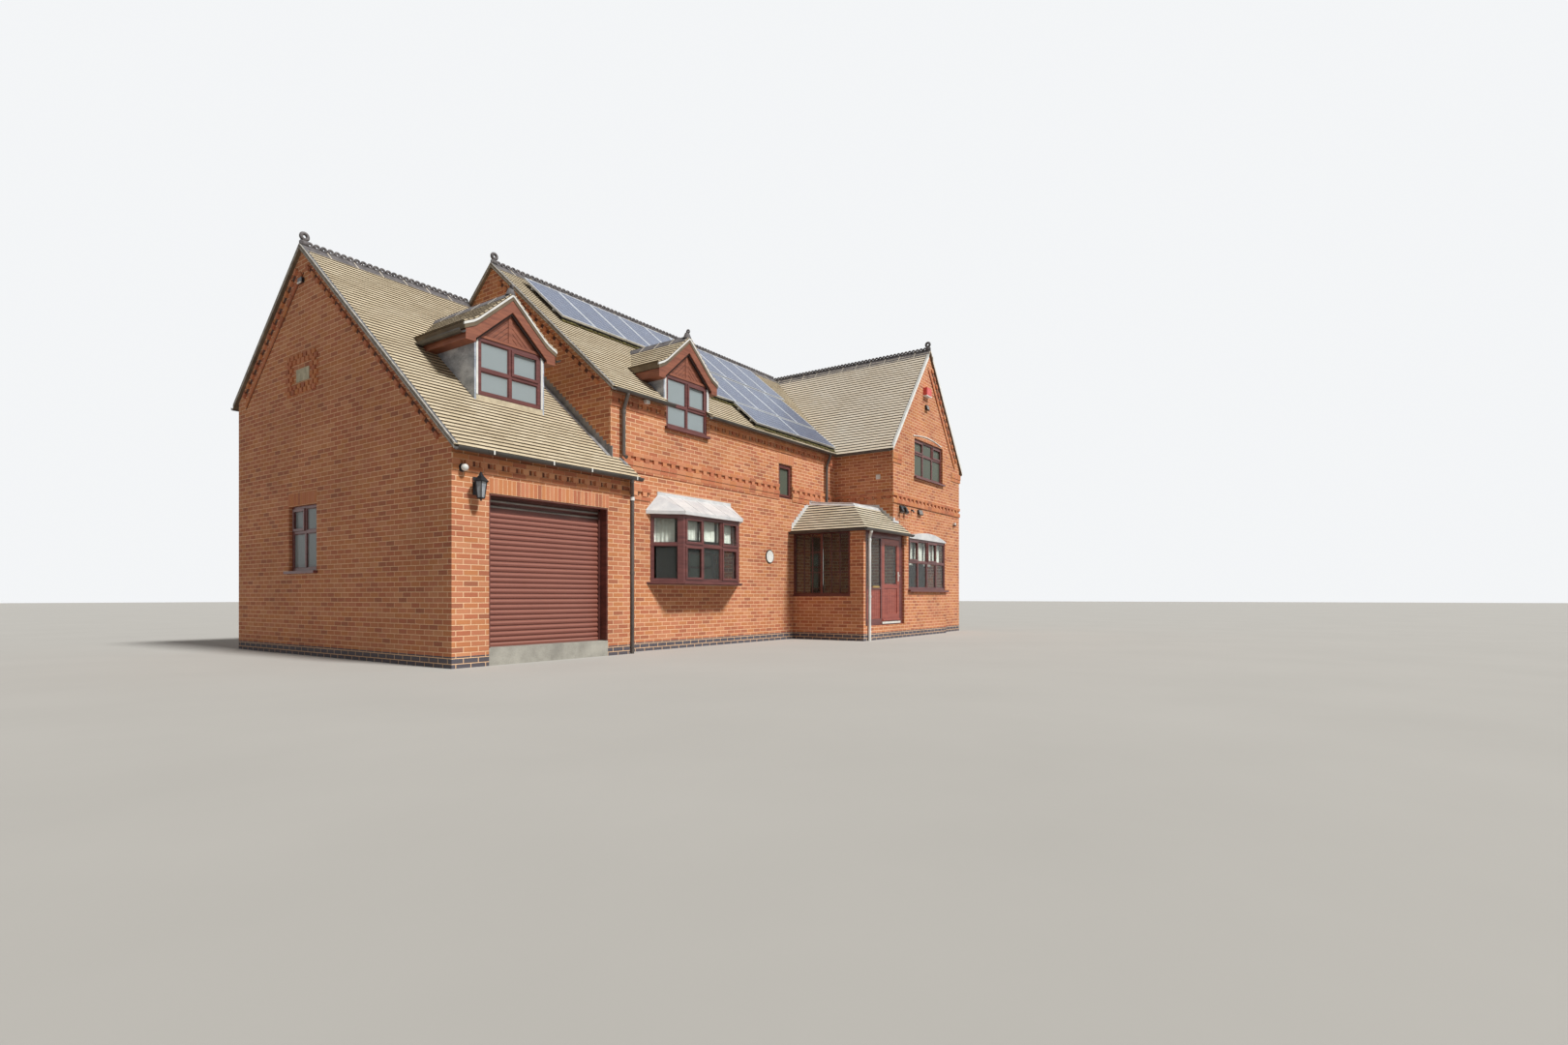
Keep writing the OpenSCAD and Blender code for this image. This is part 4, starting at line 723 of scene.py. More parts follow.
# a ridge along x or y from its gable end
def ridgeRun(start, length, axis, slope, crest, clip=None):
    turn = (0, 0, 0 if axis == "x" else math.pi / 2)
    start, step = Vector(start), Vector(east if axis == "x" else north)
    count = max(1, round(length / ridge["unit"]))
    long = length / count
    cap, seam, *spare = newMeshes(5)
    prism(cap, capOutline(slope), 0.004, long - 0.004, "x")
    prism(seam, capOutline(slope, 0.004), -ridge["joint"] / 2, ridge["joint"] / 2, "x")
    cap, seam = toObject(cap, "capUnit"), toObject(seam, "seamUnit")
    addUnits(spare[0], cap, count, start, step * long, turn, 41)
    addUnits(spare[1], seam, count - 1, start + step * long, step * long, turn, 42, "mortar")
    if crest:
        gap = long / ridge["rings"]
        first = start + step * gap / 2 + Vector((0, 0, ridge["thick"] + ridge["ring"] - 0.002))
        addUnits(spare[2], loop, count * ridge["rings"], first, step * gap, turn, 43)
    for part, whole in zip(spare, (caps, joints, crests)):
        if clip:
            cutAway(part, *clip)
        pour(part, whole)
    for unit in (cap, seam):
        bpy.data.objects.remove(unit)


# a ring on a neck over the last cap
def finial(foot, axis, scale=1.0):
    about = Matrix.Rotation(0 if axis == "x" else math.pi / 2, 4, "Z")
    turn = Matrix.Translation(foot) @ about @ Matrix.Scale(scale, 4)
    radius, wire = ridge["finialRing"], ridge["finialWire"]
    middle = ridge["finialHeight"] - radius - wire
    torus(crests, radius, wire, 24, 10, turn @ Matrix.Translation((0.082, 0, middle)))
    neck = [(0.02, 0.02), (0.144, 0.02), (0.108, middle - radius), (0.056, middle - radius)]
    prism(crests, neck, -0.022, 0.022, "y", turn)


for start, length, axis, slope in (
        ((h["mainVerge"], h["ridgeY"], h["ridgeZ"]), mainLong - 0.12, "x", h["slope"]),
        ((h["leftVerge"], h["garageRidgeY"], h["garageRidgeZ"]), h["mainVerge"] - h["leftVerge"], "x", h["slope"]),
        ((h["wingRidge"], h["wingVerge"], h["ridgeZ"]), wingLong, "y", h["wingSlope"])):
    ridgeRun(start, length, axis, slope, True)
    finial(start, axis)
finial((h["wingRidge"], h["backVerge"] - 0.17, h["ridgeZ"]), "y")
for d in dormers:
    x, y, z = d["x"], d["y"] - s["verge"], d["head"] + s["rise"]
    ridgeRun((x, y, z), d["ridge"], "y", s["slope"], False, hostPlane[d["host"]])
    finial((x, y, z + 0.02), "y", 0.55)
    tube(caps, [(x, y + 0.07, z - 0.02), (x, y + 0.07, z + 0.09)], [0.085, 0.04])
bpy.data.objects.remove(loop)
makePiece(caps, "ridgeCaps", "ridgeClay", replaces=["ridge_tiles"])
makePiece(joints, "ridgeJoints", "mortar")
makePiece(crests, "ridgeCrests", "ridgeClay", smooth=True)
print("ridges capped")

# solar panels: left edge, pitch, length up the roof, top edge, count, cells across and up
solar = {"rows": [(0.4, 0.82, 1.52, 2.96, 9, (6, 10)), (3.4, 0.82, 1.44, 1.75, 5, (6, 10)),
                  (4.08, 1.67, 0.82, 0.62, 2, (10, 6))],
         "lift": 0.085, "thick": 0.04, "gap": 0.012, "frame": 0.03, "rails": (0.2, 0.75)}


def solarPlane(top):
    z = h["ridgeZ"] - h["slope"] * (h["ridgeY"] - top) + 0.0003
    return slopeFrame((0, top, z), east, h["slope"])[0]


def addSolar():
    frames, cells, feet = newMeshes(3)
    chart = cells.loops.layers.uv.new("UVMap")
    low, high, rim = solar["lift"], solar["lift"] + solar["thick"], solar["frame"]
    for x0, wide, long, top, count, grid in solar["rows"]:
        turn = solarPlane(top)
        back, inY = turn.inverted(), (rim - long, -rim)
        for i in range(count):
            a = x0 + i * wide
            b = a + wide - solar["gap"]
            for x, y in (((a, b), (-long, inY[0])), ((a, b), (inY[1], 0)), ((a, a + rim), inY), ((b - rim, b), inY)):
                slab(frames, x, y, (low, high), turn)
            before = set(cells.faces)
            slab(cells, (a + rim, b - rim), inY, (low + 0.006, high - 0.004), turn)
            for face in set(cells.faces) - before:
                for corner in face.loops:
                    spot = back @ corner.vert.co
                    corner[chart].uv = ((spot.x - a - rim) / (b - a - 2 * rim) * grid[0],
                                        (spot.y - inY[0]) / (inY[1] - inY[0]) * grid[1])
            for f in solar["rails"]:
                y, middle = (f - 1) * long, (a + b) / 2
                slab(feet, (middle - 0.06, middle + 0.06), (y, y + 0.045), (0.0, low), turn)
        for f in solar["rails"]:
            y = (f - 1) * long
            slab(feet, (x0, x0 + count * wide - solar["gap"]), (y + 0.002, y + 0.042), (low - 0.04, low - 0.001), turn)
    makePiece(frames, "solarFrames", "brightMetal", replaces=["solar_panels"], bevel=0.003)
    makePiece(cells, "solarCells", "solarCell")
    makePiece(feet, "solarRails", "brightMetal")


addSolar()


# the roller door: ribbed slats, side guides and deep reveal boards
def addRoller():
    r = roller
    left, right, face, slat, rise = (r[key] for key in ("left", "right", "face", "slat", "rise"))
    span, top = (left + r["guide"], right - r["guide"]), r["foot"] + r["curtain"] * r["slat"]
    unit, slats, guides, boards, drum, seals, board = newMeshes(7)
    prism(unit, [(0.014, 0.001), (0.014, slat - 0.001), (0.003, slat - 0.001), (0.001, slat - 0.006),
                 (0.004, slat - 0.010), (-rise * 0.6, slat * 0.76), (-rise, slat * 0.5), (-rise * 0.75, slat * 0.22),
                 (0.003, 0.006), (0.004, 0.001)], *span, "x")
    unit = toObject(unit, "slatUnit")
    addUnits(slats, unit, r["curtain"], (0, face, r["foot"]), (0, 0, slat), finish="rollerSteel", seed=51)
    bpy.data.objects.remove(unit)
    prism(slats, [(face - 0.012, 0.002), (face + 0.016, 0.002), (face + 0.016, 0.058), (face - 0.004, 0.058),
                  (face - 0.012, 0.046)], *span, "x")
    makePiece(slats, "rollerSlats", "rollerSteel", replaces=["roller_door"])
    tall, deep, thick = (0, r["top"]), (r["reveal"], r["guideBack"]), r["board"]
    slabs(guides, ((left, span[0]), deep, tall), ((span[1], right), deep, tall),
          ((left, right), (r["reveal"], r["headFace"]), (r["top"] - r["headTall"], r["top"])))
    makePiece(guides, "rollerGuides", "rollerShade", bevel=0.003)
    deep = (r["front"], r["reveal"])
    slabs(boards, ((left + 0.001, left + thick), deep, tall), ((right - thick, right - 0.001), deep, tall),
          ((left + thick, right - thick), deep, (r["top"] - 0.024, r["top"] - 0.001)))
    makePiece(boards, "garageReveals", "revealBoard", bevel=0.003)
    tube(drum, [(left + 0.06, -0.04, top + 0.115), (right - 0.06, -0.04, top + 0.115)], r["drum"], 20)
    makePiece(drum, "rollerDrum", "rollerShade", smooth=True)
    for z in (top + 0.07, top + 0.15):
        outline = [(-0.110, z), (-0.098, z), (-0.098, z + 0.026), (-0.106, z + 0.03), (-0.115, z + 0.02)]
        prism(seals, outline, *span, "x")
    makePiece(seals, "rollerSeals", "greySeal")
    slab(board, span, (face + 0.008, face + 0.016), (top + 0.002, r["top"] - r["headTall"]))
    makePiece(board, "rollerBoard", "revealBoard", bevel=0.002)


addRoller()
print("panels and roller door made")

# windows: outer frame, mullions, transom, sashes and beads
window = {"bar": 0.058, "deep": 0.07, "sash": 0.046, "proud": 0.016, "bead": 0.012, "overlap": 0.012, "back": 0.03}


# in its own frame: x along the window, y inwards from its front, z up
def windowFrame(bm, turn, wide, low, high, mullions=(), transom=0.0, sashes=(), ends=None):
    bar, deep, half = window["bar"], window["deep"], window["bar"] / 2
    left, right = ends or (bar, bar)
    inside, middle = (low + bar, high - bar), low + transom * (high - low)
    bars(bm, (0, wide), (0, deep), (low, high), bar, turn, (left, right))
    for m in mullions:
        slab(bm, (m * wide - half, m * wide + half), (0, deep), inside, turn)
    if transom:
        slab(bm, (left, wide - right), (0.002, deep - 0.002), (middle - half, middle + half), turn)
    levels = [(low + bar, middle - half), (middle + half, high - bar)] if transom else [inside]
    starts = [left] + [m * wide + half for m in mullions]
    stops = [m * wide - half for m in mullions] + [wide - right]
    for column, (a, b) in enumerate(zip(starts, stops)):
        for storey, (c, e) in enumerate(levels):
            over, size, front = 0.0, window["bead"], 0.012
            if (column, storey) in sashes:
                over, size, front = window["overlap"], window["sash"], -window["proud"]
            bars(bm, (a - over, b + over), (front, window["back"]), (c - over, e + over), size, turn)


def facing(x, y, turn=0.0):
    return Matrix.Translation((x, y, 0)) @ Matrix.Rotation(math.radians(turn), 4, "Z")


third, outerSashes = (1 / 3, 2 / 3), ((0, 1), (2, 1))
plainWindows = [  # left end, turn, width, sill, head, mullions, transom, sashes
    (8.70, -1.575, 0, 1.82, 3.78, 4.76, third, 0.62, outerSashes),
    (5.01, 0.05, 0, 0.54, 2.96, 3.74, (), 0.0, ((0, 0),)),
    (-2.02, 0.73, 0, 1.15, 3.83, 4.715, (0.5,), 0.45, ((1, 1),)),
    (1.365, 0.01, 0, 1.15, 3.88, 4.85, (0.5,), 0.45, ((1, 1),)),
    (-0.6936, 6.57, 180, 1.2, 0.95, 2.15, (0.5,), 0.6, ((0, 1),)),
    (3.0072, 6.57, 180, 1.82, 0.95, 2.15, third, 0.6, outerSashes),
    (5.8932, 6.57, 180, 1.6, 0.95, 2.15, (0.5,), 0.6, ((0, 1),)),
    (10.52, 6.57, 180, 1.82, 0.95, 2.15, third, 0.6, outerSashes),
    (2.5972, 6.57, 180, 1.0, 2.95, 3.85, (0.5,), 0.0, ((0, 0),)),
    (5.5932, 6.57, 180, 1.0, 2.95, 3.85, (0.5,), 0.0, ((0, 0),)),
    (10.52, 6.57, 180, 1.82, 3.78, 4.76, third, 0.62, outerSashes),
    (-3.03, 4.5504, -90, 1.0, 1.15, 2.25, (0.5,), 0.6, ((0, 1),)),
    (11.68, 2.43, 90, 1.2, 0.95, 2.15, (0.5,), 0.6, ((0, 1),)),
]
bm = bmesh.new()
for x, y, turn, *settings in plainWindows:
    windowFrame(bm, facing(x, y, turn), *settings)
makePiece(bm, "windowBars", "rosewood", replaces=["window_frames"], bevel=0.004)

bay = {"left": 0.95, "right": 3.43, "out": 0.42, "sill": 0.985, "head": 2.215, "transom": 0.56, "post": 0.1}
b = bay


def bayPlan(grow):
    aside, out = grow * 0.41, -b["out"] - grow
    return [(b["left"] - grow * 1.4, 0), (b["left"] + b["out"] - aside, out), (b["right"] - b["out"] + aside, out),
            (b["right"] + grow * 1.4, 0)]


def addBays():
    bm, flat = newMeshes(2)
    bar, post, span = window["bar"], b["post"], (b["sill"], b["head"])
    splay, front = b["out"] * math.sqrt(2), b["right"] - b["left"] - 2 * b["out"]
    frontSashes = ((0, 0), (0, 1), (2, 0), (2, 1))
    for place, wide, mullions, sashes, ends in (
            (facing(b["left"], 0, -45), splay, (), (), (bar, post)),
            (facing(b["left"] + b["out"], -b["out"]), front, third, frontSashes, (post * 0.7, post * 0.7)),
            (facing(b["right"] - b["out"], -b["out"], 45), splay, (), (), (post, bar))):
        windowFrame(bm, place, wide, *span, mullions, b["transom"], sashes, ends)
    for k, side in ((1, -1), (2, 1)):
        corner, back = Vector(bayPlan(0.006)[k]), Vector(bayPlan(-0.072)[k])
        along, splayed = Vector((-side, 0)) * 0.075, Vector((side, 1)).normalized() * 0.11
        outline = [corner, corner + along, back + along * 0.7, back, back + splayed * 0.7, corner + splayed]
        prism(bm, outline, *span, "z")
    for grow, low, high in ((0.07, 0.953, 0.985), (0.055, 0.94, 0.953), (0.015, 2.2, 2.2149)):
        prism(bm, bayPlan(grow), low, high, "z")
    makePiece(bm, "cantedBayBars", "rosewood", replaces=["canted_bay_frame"], bevel=0.004)
    windowFrame(flat, facing(7.885, -1.83), 2.282, 0.89, 2.15, (0.25, 0.5, 0.75), 0.55, outerSashes)
    makePiece(flat, "flatBayBars", "rosewood", replaces=["flat_bay_frame"], bevel=0.004)


addBays()
print("windows made")

# porch joinery: side screen, sidelight and the boarded door leaf
porchJoinery = {
    "screenX": 5.62, "screenLong": 1.505, "screenLow": 0.75, "wallZ": 2.2, "bar": 0.058, "left": 5.703, "right": 7.66,
    "panel": 5.853, "panelZ": (0.22, 0.89), "gap": (6.572, 7.488), "head": 2.066, "sideHead": 2.05, "floorZ": 0.15,
    "post": 0.07, "boards": 7, "leafX": 6.58, "leafW": 0.9, "leafZ": 0.158, "leafH": 1.9,
    "face": -1.79, "deep": 0.06, "stile": 0.12, "foot": 0.17, "railZ": 0.918, "board": 0.083,
    "hinges": (0.308, 1.058, 1.828), "pin": (6.576, -1.721), "plate": (-1.73, -1.727),
}


def upright(bm, x, y, low, high, radius, sides):
    tube(bm, [(x, y, low), (x, y, high)], radius, sides)


def boarded(bm, start, stop, count, y, z):
    step = (stop - start) / count
    for k in range(count):
        slab(bm, (start + k * step + 0.003, start + (k + 1) * step - 0.003), y, z)


def addScreen(bm, j):
    turn, long, bar = facing(j["screenX"], 0, -90), j["screenLong"], j["bar"]
    low, high = j["screenLow"], j["wallZ"]
    inside, half = (low + bar, high - bar), long / 2
    bars(bm, (0, long), (0, j["deep"]), (low, high), bar, turn)
    slabs(bm, ((half - bar / 2, half + bar / 2), (0, j["deep"]), inside),
          ((0, long), (-0.03, 0.01), (low - 0.02, low + 0.02)), turn=turn)
    for a in (bar, half + bar / 2):
        b = a + half - bar * 1.5
        for x in (a + (b - a) * k / 3 for k in (1, 2)):
            slab(bm, (x - 0.009, x + 0.009), (0.012, 0.048), inside, turn)
        for z in (low + (high - low) * f for f in (0.36, 0.68)):
            slab(bm, (a, b), (0.013, 0.047), (z - 0.009, z + 0.009), turn)


def addPorch():
    j = porchJoinery
    bm, panel, leaf, handle = newMeshes(4)
    addScreen(bm, j)
    face, left, right, high, (gapLeft, gapRight) = j["face"], j["left"], j["right"], j["wallZ"], j["gap"]
    y, start, post = (face, face + j["deep"]), left + j["post"], gapLeft - j["bar"]
    wide, (low, rail), floor, head = (j["panel"], post), j["panelZ"], j["floorZ"], j["sideHead"]
    for x in ((left, start), (post, gapLeft), (gapRight, right)):
        slab(bm, x, y, (floor, high))
    slabs(bm, ((start, post), y, (head, high)), ((gapLeft, gapRight), y, (j["head"], high)),
          ((left, right), y, (0.075, floor)), ((start, wide[0]), y, (low, head)), (wide, y, (rail, rail + 0.06)),
          ((start, post), y, (floor, low)), (wide, (face + 0.03, y[1]), (low, rail)))
    boarded(panel, *wide, j["boards"], (face + 0.016, face + 0.032), (low, rail))
    makePiece(panel, "porchPanel", "doorPaint", bevel=0.002)
    pin = j["pin"]
    for z in j["hinges"]:
        for low in (z - 0.025, z + 0.0603):
            upright(bm, *pin, low, low + 0.0247, 0.009, 16)
            slab(bm, (6.536, pin[0]), j["plate"], (low, low + 0.0247))
        upright(bm, *pin, z - 0.01, z + 0.07, 0.005, 12)
        upright(leaf, *pin, z, z + 0.06, 0.009, 16)
        slab(leaf, (pin[0], 6.64), j["plate"], (z, z + 0.06))
    makePiece(bm, "porchBars", "rosewood", replaces=["porch_frames"], bevel=0.003)

    x0, x1, z0, z1 = j["leafX"], j["leafX"] + j["leafW"], j["leafZ"], j["leafZ"] + j["leafH"]
    a, b, low, top = x0 + j["stile"], x1 - j["stile"], z0 + j["foot"], z1 - j["stile"]
    rail, glass, bead, inner = j["railZ"], j["railZ"] + 0.08, (face + 0.008, face + 0.05), (a + 0.02, b - 0.02)
    slabs(leaf, ((x0, a), y, (z0, z1)), ((b, x1), y, (z0, z1)), ((a, b), y, (top, z1)), ((a, b), y, (z0, low)),
          ((a, b), y, (rail, glass)), ((a, b), (face + 0.028, face + 0.05), (low, rail)),
          ((a, inner[0]), bead, (glass, top)), ((inner[1], b), bead, (glass, top)),
          (inner, bead, (glass, glass + 0.02)), (inner, bead, (top - 0.02, top)),
          ((x0 + 0.02, x1 - 0.02), (face - 0.02, face), (z0 + 0.01, z0 + 0.055)))
    boarded(leaf, a, b, round((b - a) / j["board"]), (face + 0.014, face + 0.03), (low, rail))
    makePiece(leaf, "porchLeaf", "doorPaint", body="porch_door", replaces=["porch_door"], bevel=0.003)

    a, z = x1 - 0.075, z0 + 1.062
    slab(handle, (a - 0.02, a + 0.02), (face - 0.012, face), (z0 + 0.93, z0 + 1.15))
    tube(handle, [(a, face - 0.01, z), (a, face - 0.052, z), (a - 0.012, face - 0.056, z),
                  (a - 0.115, face - 0.056, z0 + 1.06)], 0.0095)
    lathe(handle, (a, face - 0.016, z0 + 0.972), [(-0.012, 0.006), (-0.009, 0.009), (0.009, 0.009), (0.012, 0.006)], 12)
    makePiece(handle, "porchHandle", "palePlate", body="porch_door", replaces=["door_handle"], bevel=0.002)


addPorch()
print("porch joinery made")


# dormer fronts: boarded chevrons, white edge strips and verges
def addDormers(board=0.083):
    boards, strips, verge, dark, paintedBargeShadow, fillet = newMeshes(6)
    half, fall = s["window"], (s["window"] - 0.036) * s["slope"]
    for d in dormers:
        x, y, head, top = d["x"], d["y"], d["head"], d["head"] + s["rise"]
        apex, edge = top - 0.111, y - s["verge"]
        foot = apex - s["slope"] * half
        slab(dark, (x - half, x + half), (y + 0.02, y + 0.06), (head, head + 0.02))
        prism(dark, [(x - half, head), (x + half, head), (x + half, foot), (x, apex), (x - half, foot)],
              y + 0.035, y + 0.078, "y")
        slab(boards, (x - 0.035, x + 0.035), (y + 0.004, y + 0.04), (head + 0.03, apex - 0.12))
        slab(boards, (x - half, x + half), (y - 0.004, y + 0.04), (head, head + 0.045))
        for side in (-1, 1):
            near, far = x + side * 0.036, x + side * half
            for k in range(9):
                low = head + 0.054 + k * board
                high = low + board - 0.008
                part = bmesh.new()
                prism(part, [(near, low), (near, high), (far, high - fall), (far, low - fall)],
                      y + 0.014, y + 0.036, "y")
                cutAway(part, (x, 0, head + 0.05), (0, 0, -1))
                if part.verts:
                    cutAway(part, (x, 0, apex - 0.17), (side * s["slope"], 0, 1))
                pour(part, boards)
            a, b = sorted((x + side * (half + 0.004), x + side * (half + 0.036)))
            slab(strips, (a, b), (y - 0.008, y + 0.012), (d["sill"] if d["host"] == "garage" else 4.28, head + 0.04))
            points = [0.0, 0.2, 0.4, s["knee"] - 0.05, s["knee"] + 0.04, 0.74, s["half"] + 0.012]
            upper = [(x + side * u, top - dormerDrop(u) - 0.012) for u in points]
            prism(verge, upper + [(u, z - 0.038) for u, z in reversed(upper)], edge - 0.006, edge + 0.02, "y")
            # painted shadow: a dark strip hung under each barge, over the infill
            upper = [(x + side * u, top - 0.266 - dormerDrop(u)) for u in (0.0, 0.62)]
            prism(paintedBargeShadow, upper + [(u, z - 0.075) for u, z in reversed(upper)], y - 0.036, y + 0.003, "y")
    makePiece(dark, "dormerLining", "boardDark", replaces=["dormer_gables"])
    makePiece(boards, "dormerInfill", "boardPaint", bevel=0.003)
    makePiece(strips, "dormerStrips", "whitePlastic", bevel=0.003)
    makePiece(verge, "dormerVerges", "paleDrain")
    makePiece(paintedBargeShadow, "dormerSoffits", "deepShade")
    d = dormers[0]
    slab(fillet, (d["x"] - 0.61, d["x"] + 0.61), (d["y"] - 0.004, d["y"] + 0.03), (d["sill"] - 0.09, d["sill"] - 0.01))
    makePiece(fillet, "dormerFillet", "sandMortar")


addDormers()
print("dormers dressed")

# brick bands: plain courses, header dentils, soldier courses and the courses that follow the verges
bands = {"proud": 0.005, "joint": 0.01, "unit": 0.225, "head": 0.104, "course": 0.075, "soldier": 0.215}
garageCourses = [(2.435, 0.075, 0.014), (2.585, 0.075, 0.028)]
mainCourses = [(3.025, 0.085, 0.028), (3.185, 0.075, 0.028)]
eavesCourses = [(3.99, 0.075, 0.014), (4.14, 0.075, 0.028)]
wingCourses = [(2.99, 0.1, 0.028), (3.165, 0.075, 0.028)]
kneelerCourses = [(3.965, 0.095, 0.014), (4.06, 0.07, 0.028), (4.13, 0.07, 0.028)]
bandRows = [  # axis, start, end, face, side, courses (height, tall, out), dentils (height, first, count, pitch)
    ("x", -3.08, 0.17, -0.29, -1, garageCourses, (2.51, -2.84, 13, 0.229)),
    ("y", -0.29, -0.028, 0.17, 1, garageCourses, (2.51, -0.17, 1, 0.229)),
    ("x", 0.2, 0.95, 0.0, -1, garageCourses, (2.51, 0.33, 3, 0.229)),
    ("x", 0.285, 5.01, 0.0, -1, [(2.95, 0.075, 0.014)] + mainCourses, (3.11, 0.39, 21, 0.2265)),
    ("x", 5.55, 6.28, 0.0, -1, [(2.95, 0.075, 0.014)], None),
    ("x", 5.55, 7.462, 0.0, -1, mainCourses, (3.11, 5.65, 9, 0.2265)),
    ("x", 0.0, 1.3, 0.0, -1, eavesCourses, (4.065, 0.1, 6, 0.2275)),
    ("x", 2.58, 7.45, 0.0, -1, eavesCourses, (4.065, 2.68, 21, 0.2275)),
    ("x", 7.462, 11.73, -1.625, -1, wingCourses, (3.09, 7.69, 17, 0.237)),
    ("y", -1.625, -0.028, 7.49, -1, wingCourses, (3.09, -1.5, 7, 0.237)),
    ("x", 7.44, 7.93, -1.625, -1, kneelerCourses, None),
    ("x", 11.13, 11.78, -1.625, -1, kneelerCourses, None),
]
soldierRows = [  # axis, start, end, face, side, height
    ("x", -2.515, -0.3, -0.29, -1, 2.178), ("x", 4.95, 5.61, 0.0, -1, 3.742), ("x", -1.93, -0.66, 6.62, 1, 2.152),
    ("x", 1.15, 3.045, 6.62, 1, 2.152), ("x", 4.26, 5.93, 6.62, 1, 2.152), ("x", 8.67, 10.55, 6.62, 1, 2.152),
    ("x", 1.57, 2.63, 6.62, 1, 3.852), ("x", 4.56, 5.63, 6.62, 1, 3.852), ("x", 8.67, 10.55, 6.62, 1, 4.762),
    ("y", 3.53, 4.57, -3.08, -1, 2.252), ("y", 2.41, 3.65, 11.73, 1, 2.152),
]
plaqueRows = [  # the header frame round the stone plaque: start, count, height
    (3.62, 7, 4.13), (3.545, 8, 4.205), (3.62, 1, 4.28), (4.5, 1, 4.28), (3.545, 1, 4.355), (3.695, 1, 4.355),
    (4.425, 1, 4.355), (4.575, 1, 4.355), (3.62, 1, 4.43), (4.5, 1, 4.43), (3.545, 1, 4.505), (3.695, 1, 4.505),
    (4.425, 1, 4.505), (4.575, 1, 4.505), (3.62, 1, 4.58), (4.5, 1, 4.58), (3.545, 8, 4.63), (3.62, 7, 4.705),
]


def spotOn(axis, run, depth, z):
    return (run, depth, z) if axis == "x" else (depth, run, z)


def blockLine(bm, axis, count, pitch, spot, size, jitter, seed):
    addBlocks(bm, count, spotOn(axis, *spot), spotOn(axis, pitch, 0, 0), spotOn(axis, *size), jitter=jitter, seed=seed)


def bedRun(bm, axis, start, end, face, side, z, tall, out):
    slab(bm, *spotOn(axis, (start, end), sorted((face, face + side * out)), (z, z + tall)))


def proudLine(bricks, axis, face, side, out, count, pitch, first, z, long, tall, jitter, seed):
    deep = out + bands["proud"] + 0.015
    middle = face + side * (out + bands["proud"] - deep / 2)
    blockLine(bricks, axis, count, pitch, (first, middle, z), (long, deep, tall), jitter, seed)


def courseRun(bricks, beds, axis, start, end, face, side, z, tall, out, seed):
    count, joint = max(1, round((end - start) / bands["unit"])), bands["joint"]
    step = (end - start) / count
    proudLine(bricks, axis, face, side, out, count, step, start + step / 2, z + tall / 2, step - joint, tall - joint,
              0.012, seed)
    bedRun(beds, axis, start - 0.0008, end + 0.0008, face, side, z + 0.0005, tall - 0.001, out + 0.001)


def dentilRun(bricks, axis, face, side, z, first, count, pitch, out, seed):
    proudLine(bricks, axis, face, side, out, count, pitch, first, z + bands["course"] / 2, bands["head"],
              bands["course"] - 0.002, 0.01, seed)


def soldierRun(bricks, beds, axis, start, end, face, side, z, seed):
    count, tall = round((end - start) / bands["course"]), bands["soldier"]
    step = (end - start) / count
    blockLine(bricks, axis, count, step, (start + step / 2, face - side * 0.006, z + tall / 2),
              (step - 0.011, 0.024, tall - 0.008), 0.012, seed)
    bedRun(beds, axis, start, end, face, side, z - 0.002, tall + 0.006, 0.003)


# dentils under a verge with a painted shadow strip behind them, and where course is set a row of stretchers further
# down with a painted shadow line under it
def rakeRun(bricks, beds, paintedShadows, axis, face, side, low, high, seed, course=0.0, dentils=0.12):
    a, unit = Vector(low), bands["unit"]
    ahead, length = (Vector(high) - a).normalized(), (Vector(high) - a).length
    down = Vector((ahead.y, -ahead.x)) * (1 if ahead.x > 0 else -1)
    count, angle = int(length / unit), math.atan2(ahead.y, ahead.x)
    span, step = (count - 1) * unit, spotOn(axis, ahead.x * unit, 0, ahead.y * unit)

    def lay(bm, number, offset, distance, depth, size, jitter=0.0, seed=seed):
        q = a + ahead * distance + down * offset
        addBlocks(bm, number, spotOn(axis, q.x, face + side * depth, q.y), step if number > 1 else (0, 0, 0),
                  spotOn(axis, *size), (0, -angle, 0) if axis == "x" else (angle, 0, 0), jitter, seed)

    start, middle = (length - span) / 2, length / 2
    lay(bricks, count, dentils, start, 0.008, (0.1, 0.06, 0.068), 0.02)
    # painted shadow strip behind the dentils
    lay(paintedShadows, 1, dentils, middle, -0.02, (span, 0.05, 0.062))
    if course:
        lay(bricks, count, course, start, 0.004, (0.217, 0.046, 0.066), 0.01, seed + 1)
        lay(beds, 1, course - 0.036, middle, -0.012, (length, 0.05, 0.008))
        # painted shadow line under the raking course
        lay(paintedShadows, 1, course + 0.036, middle, -0.02, (length, 0.05, 0.012))


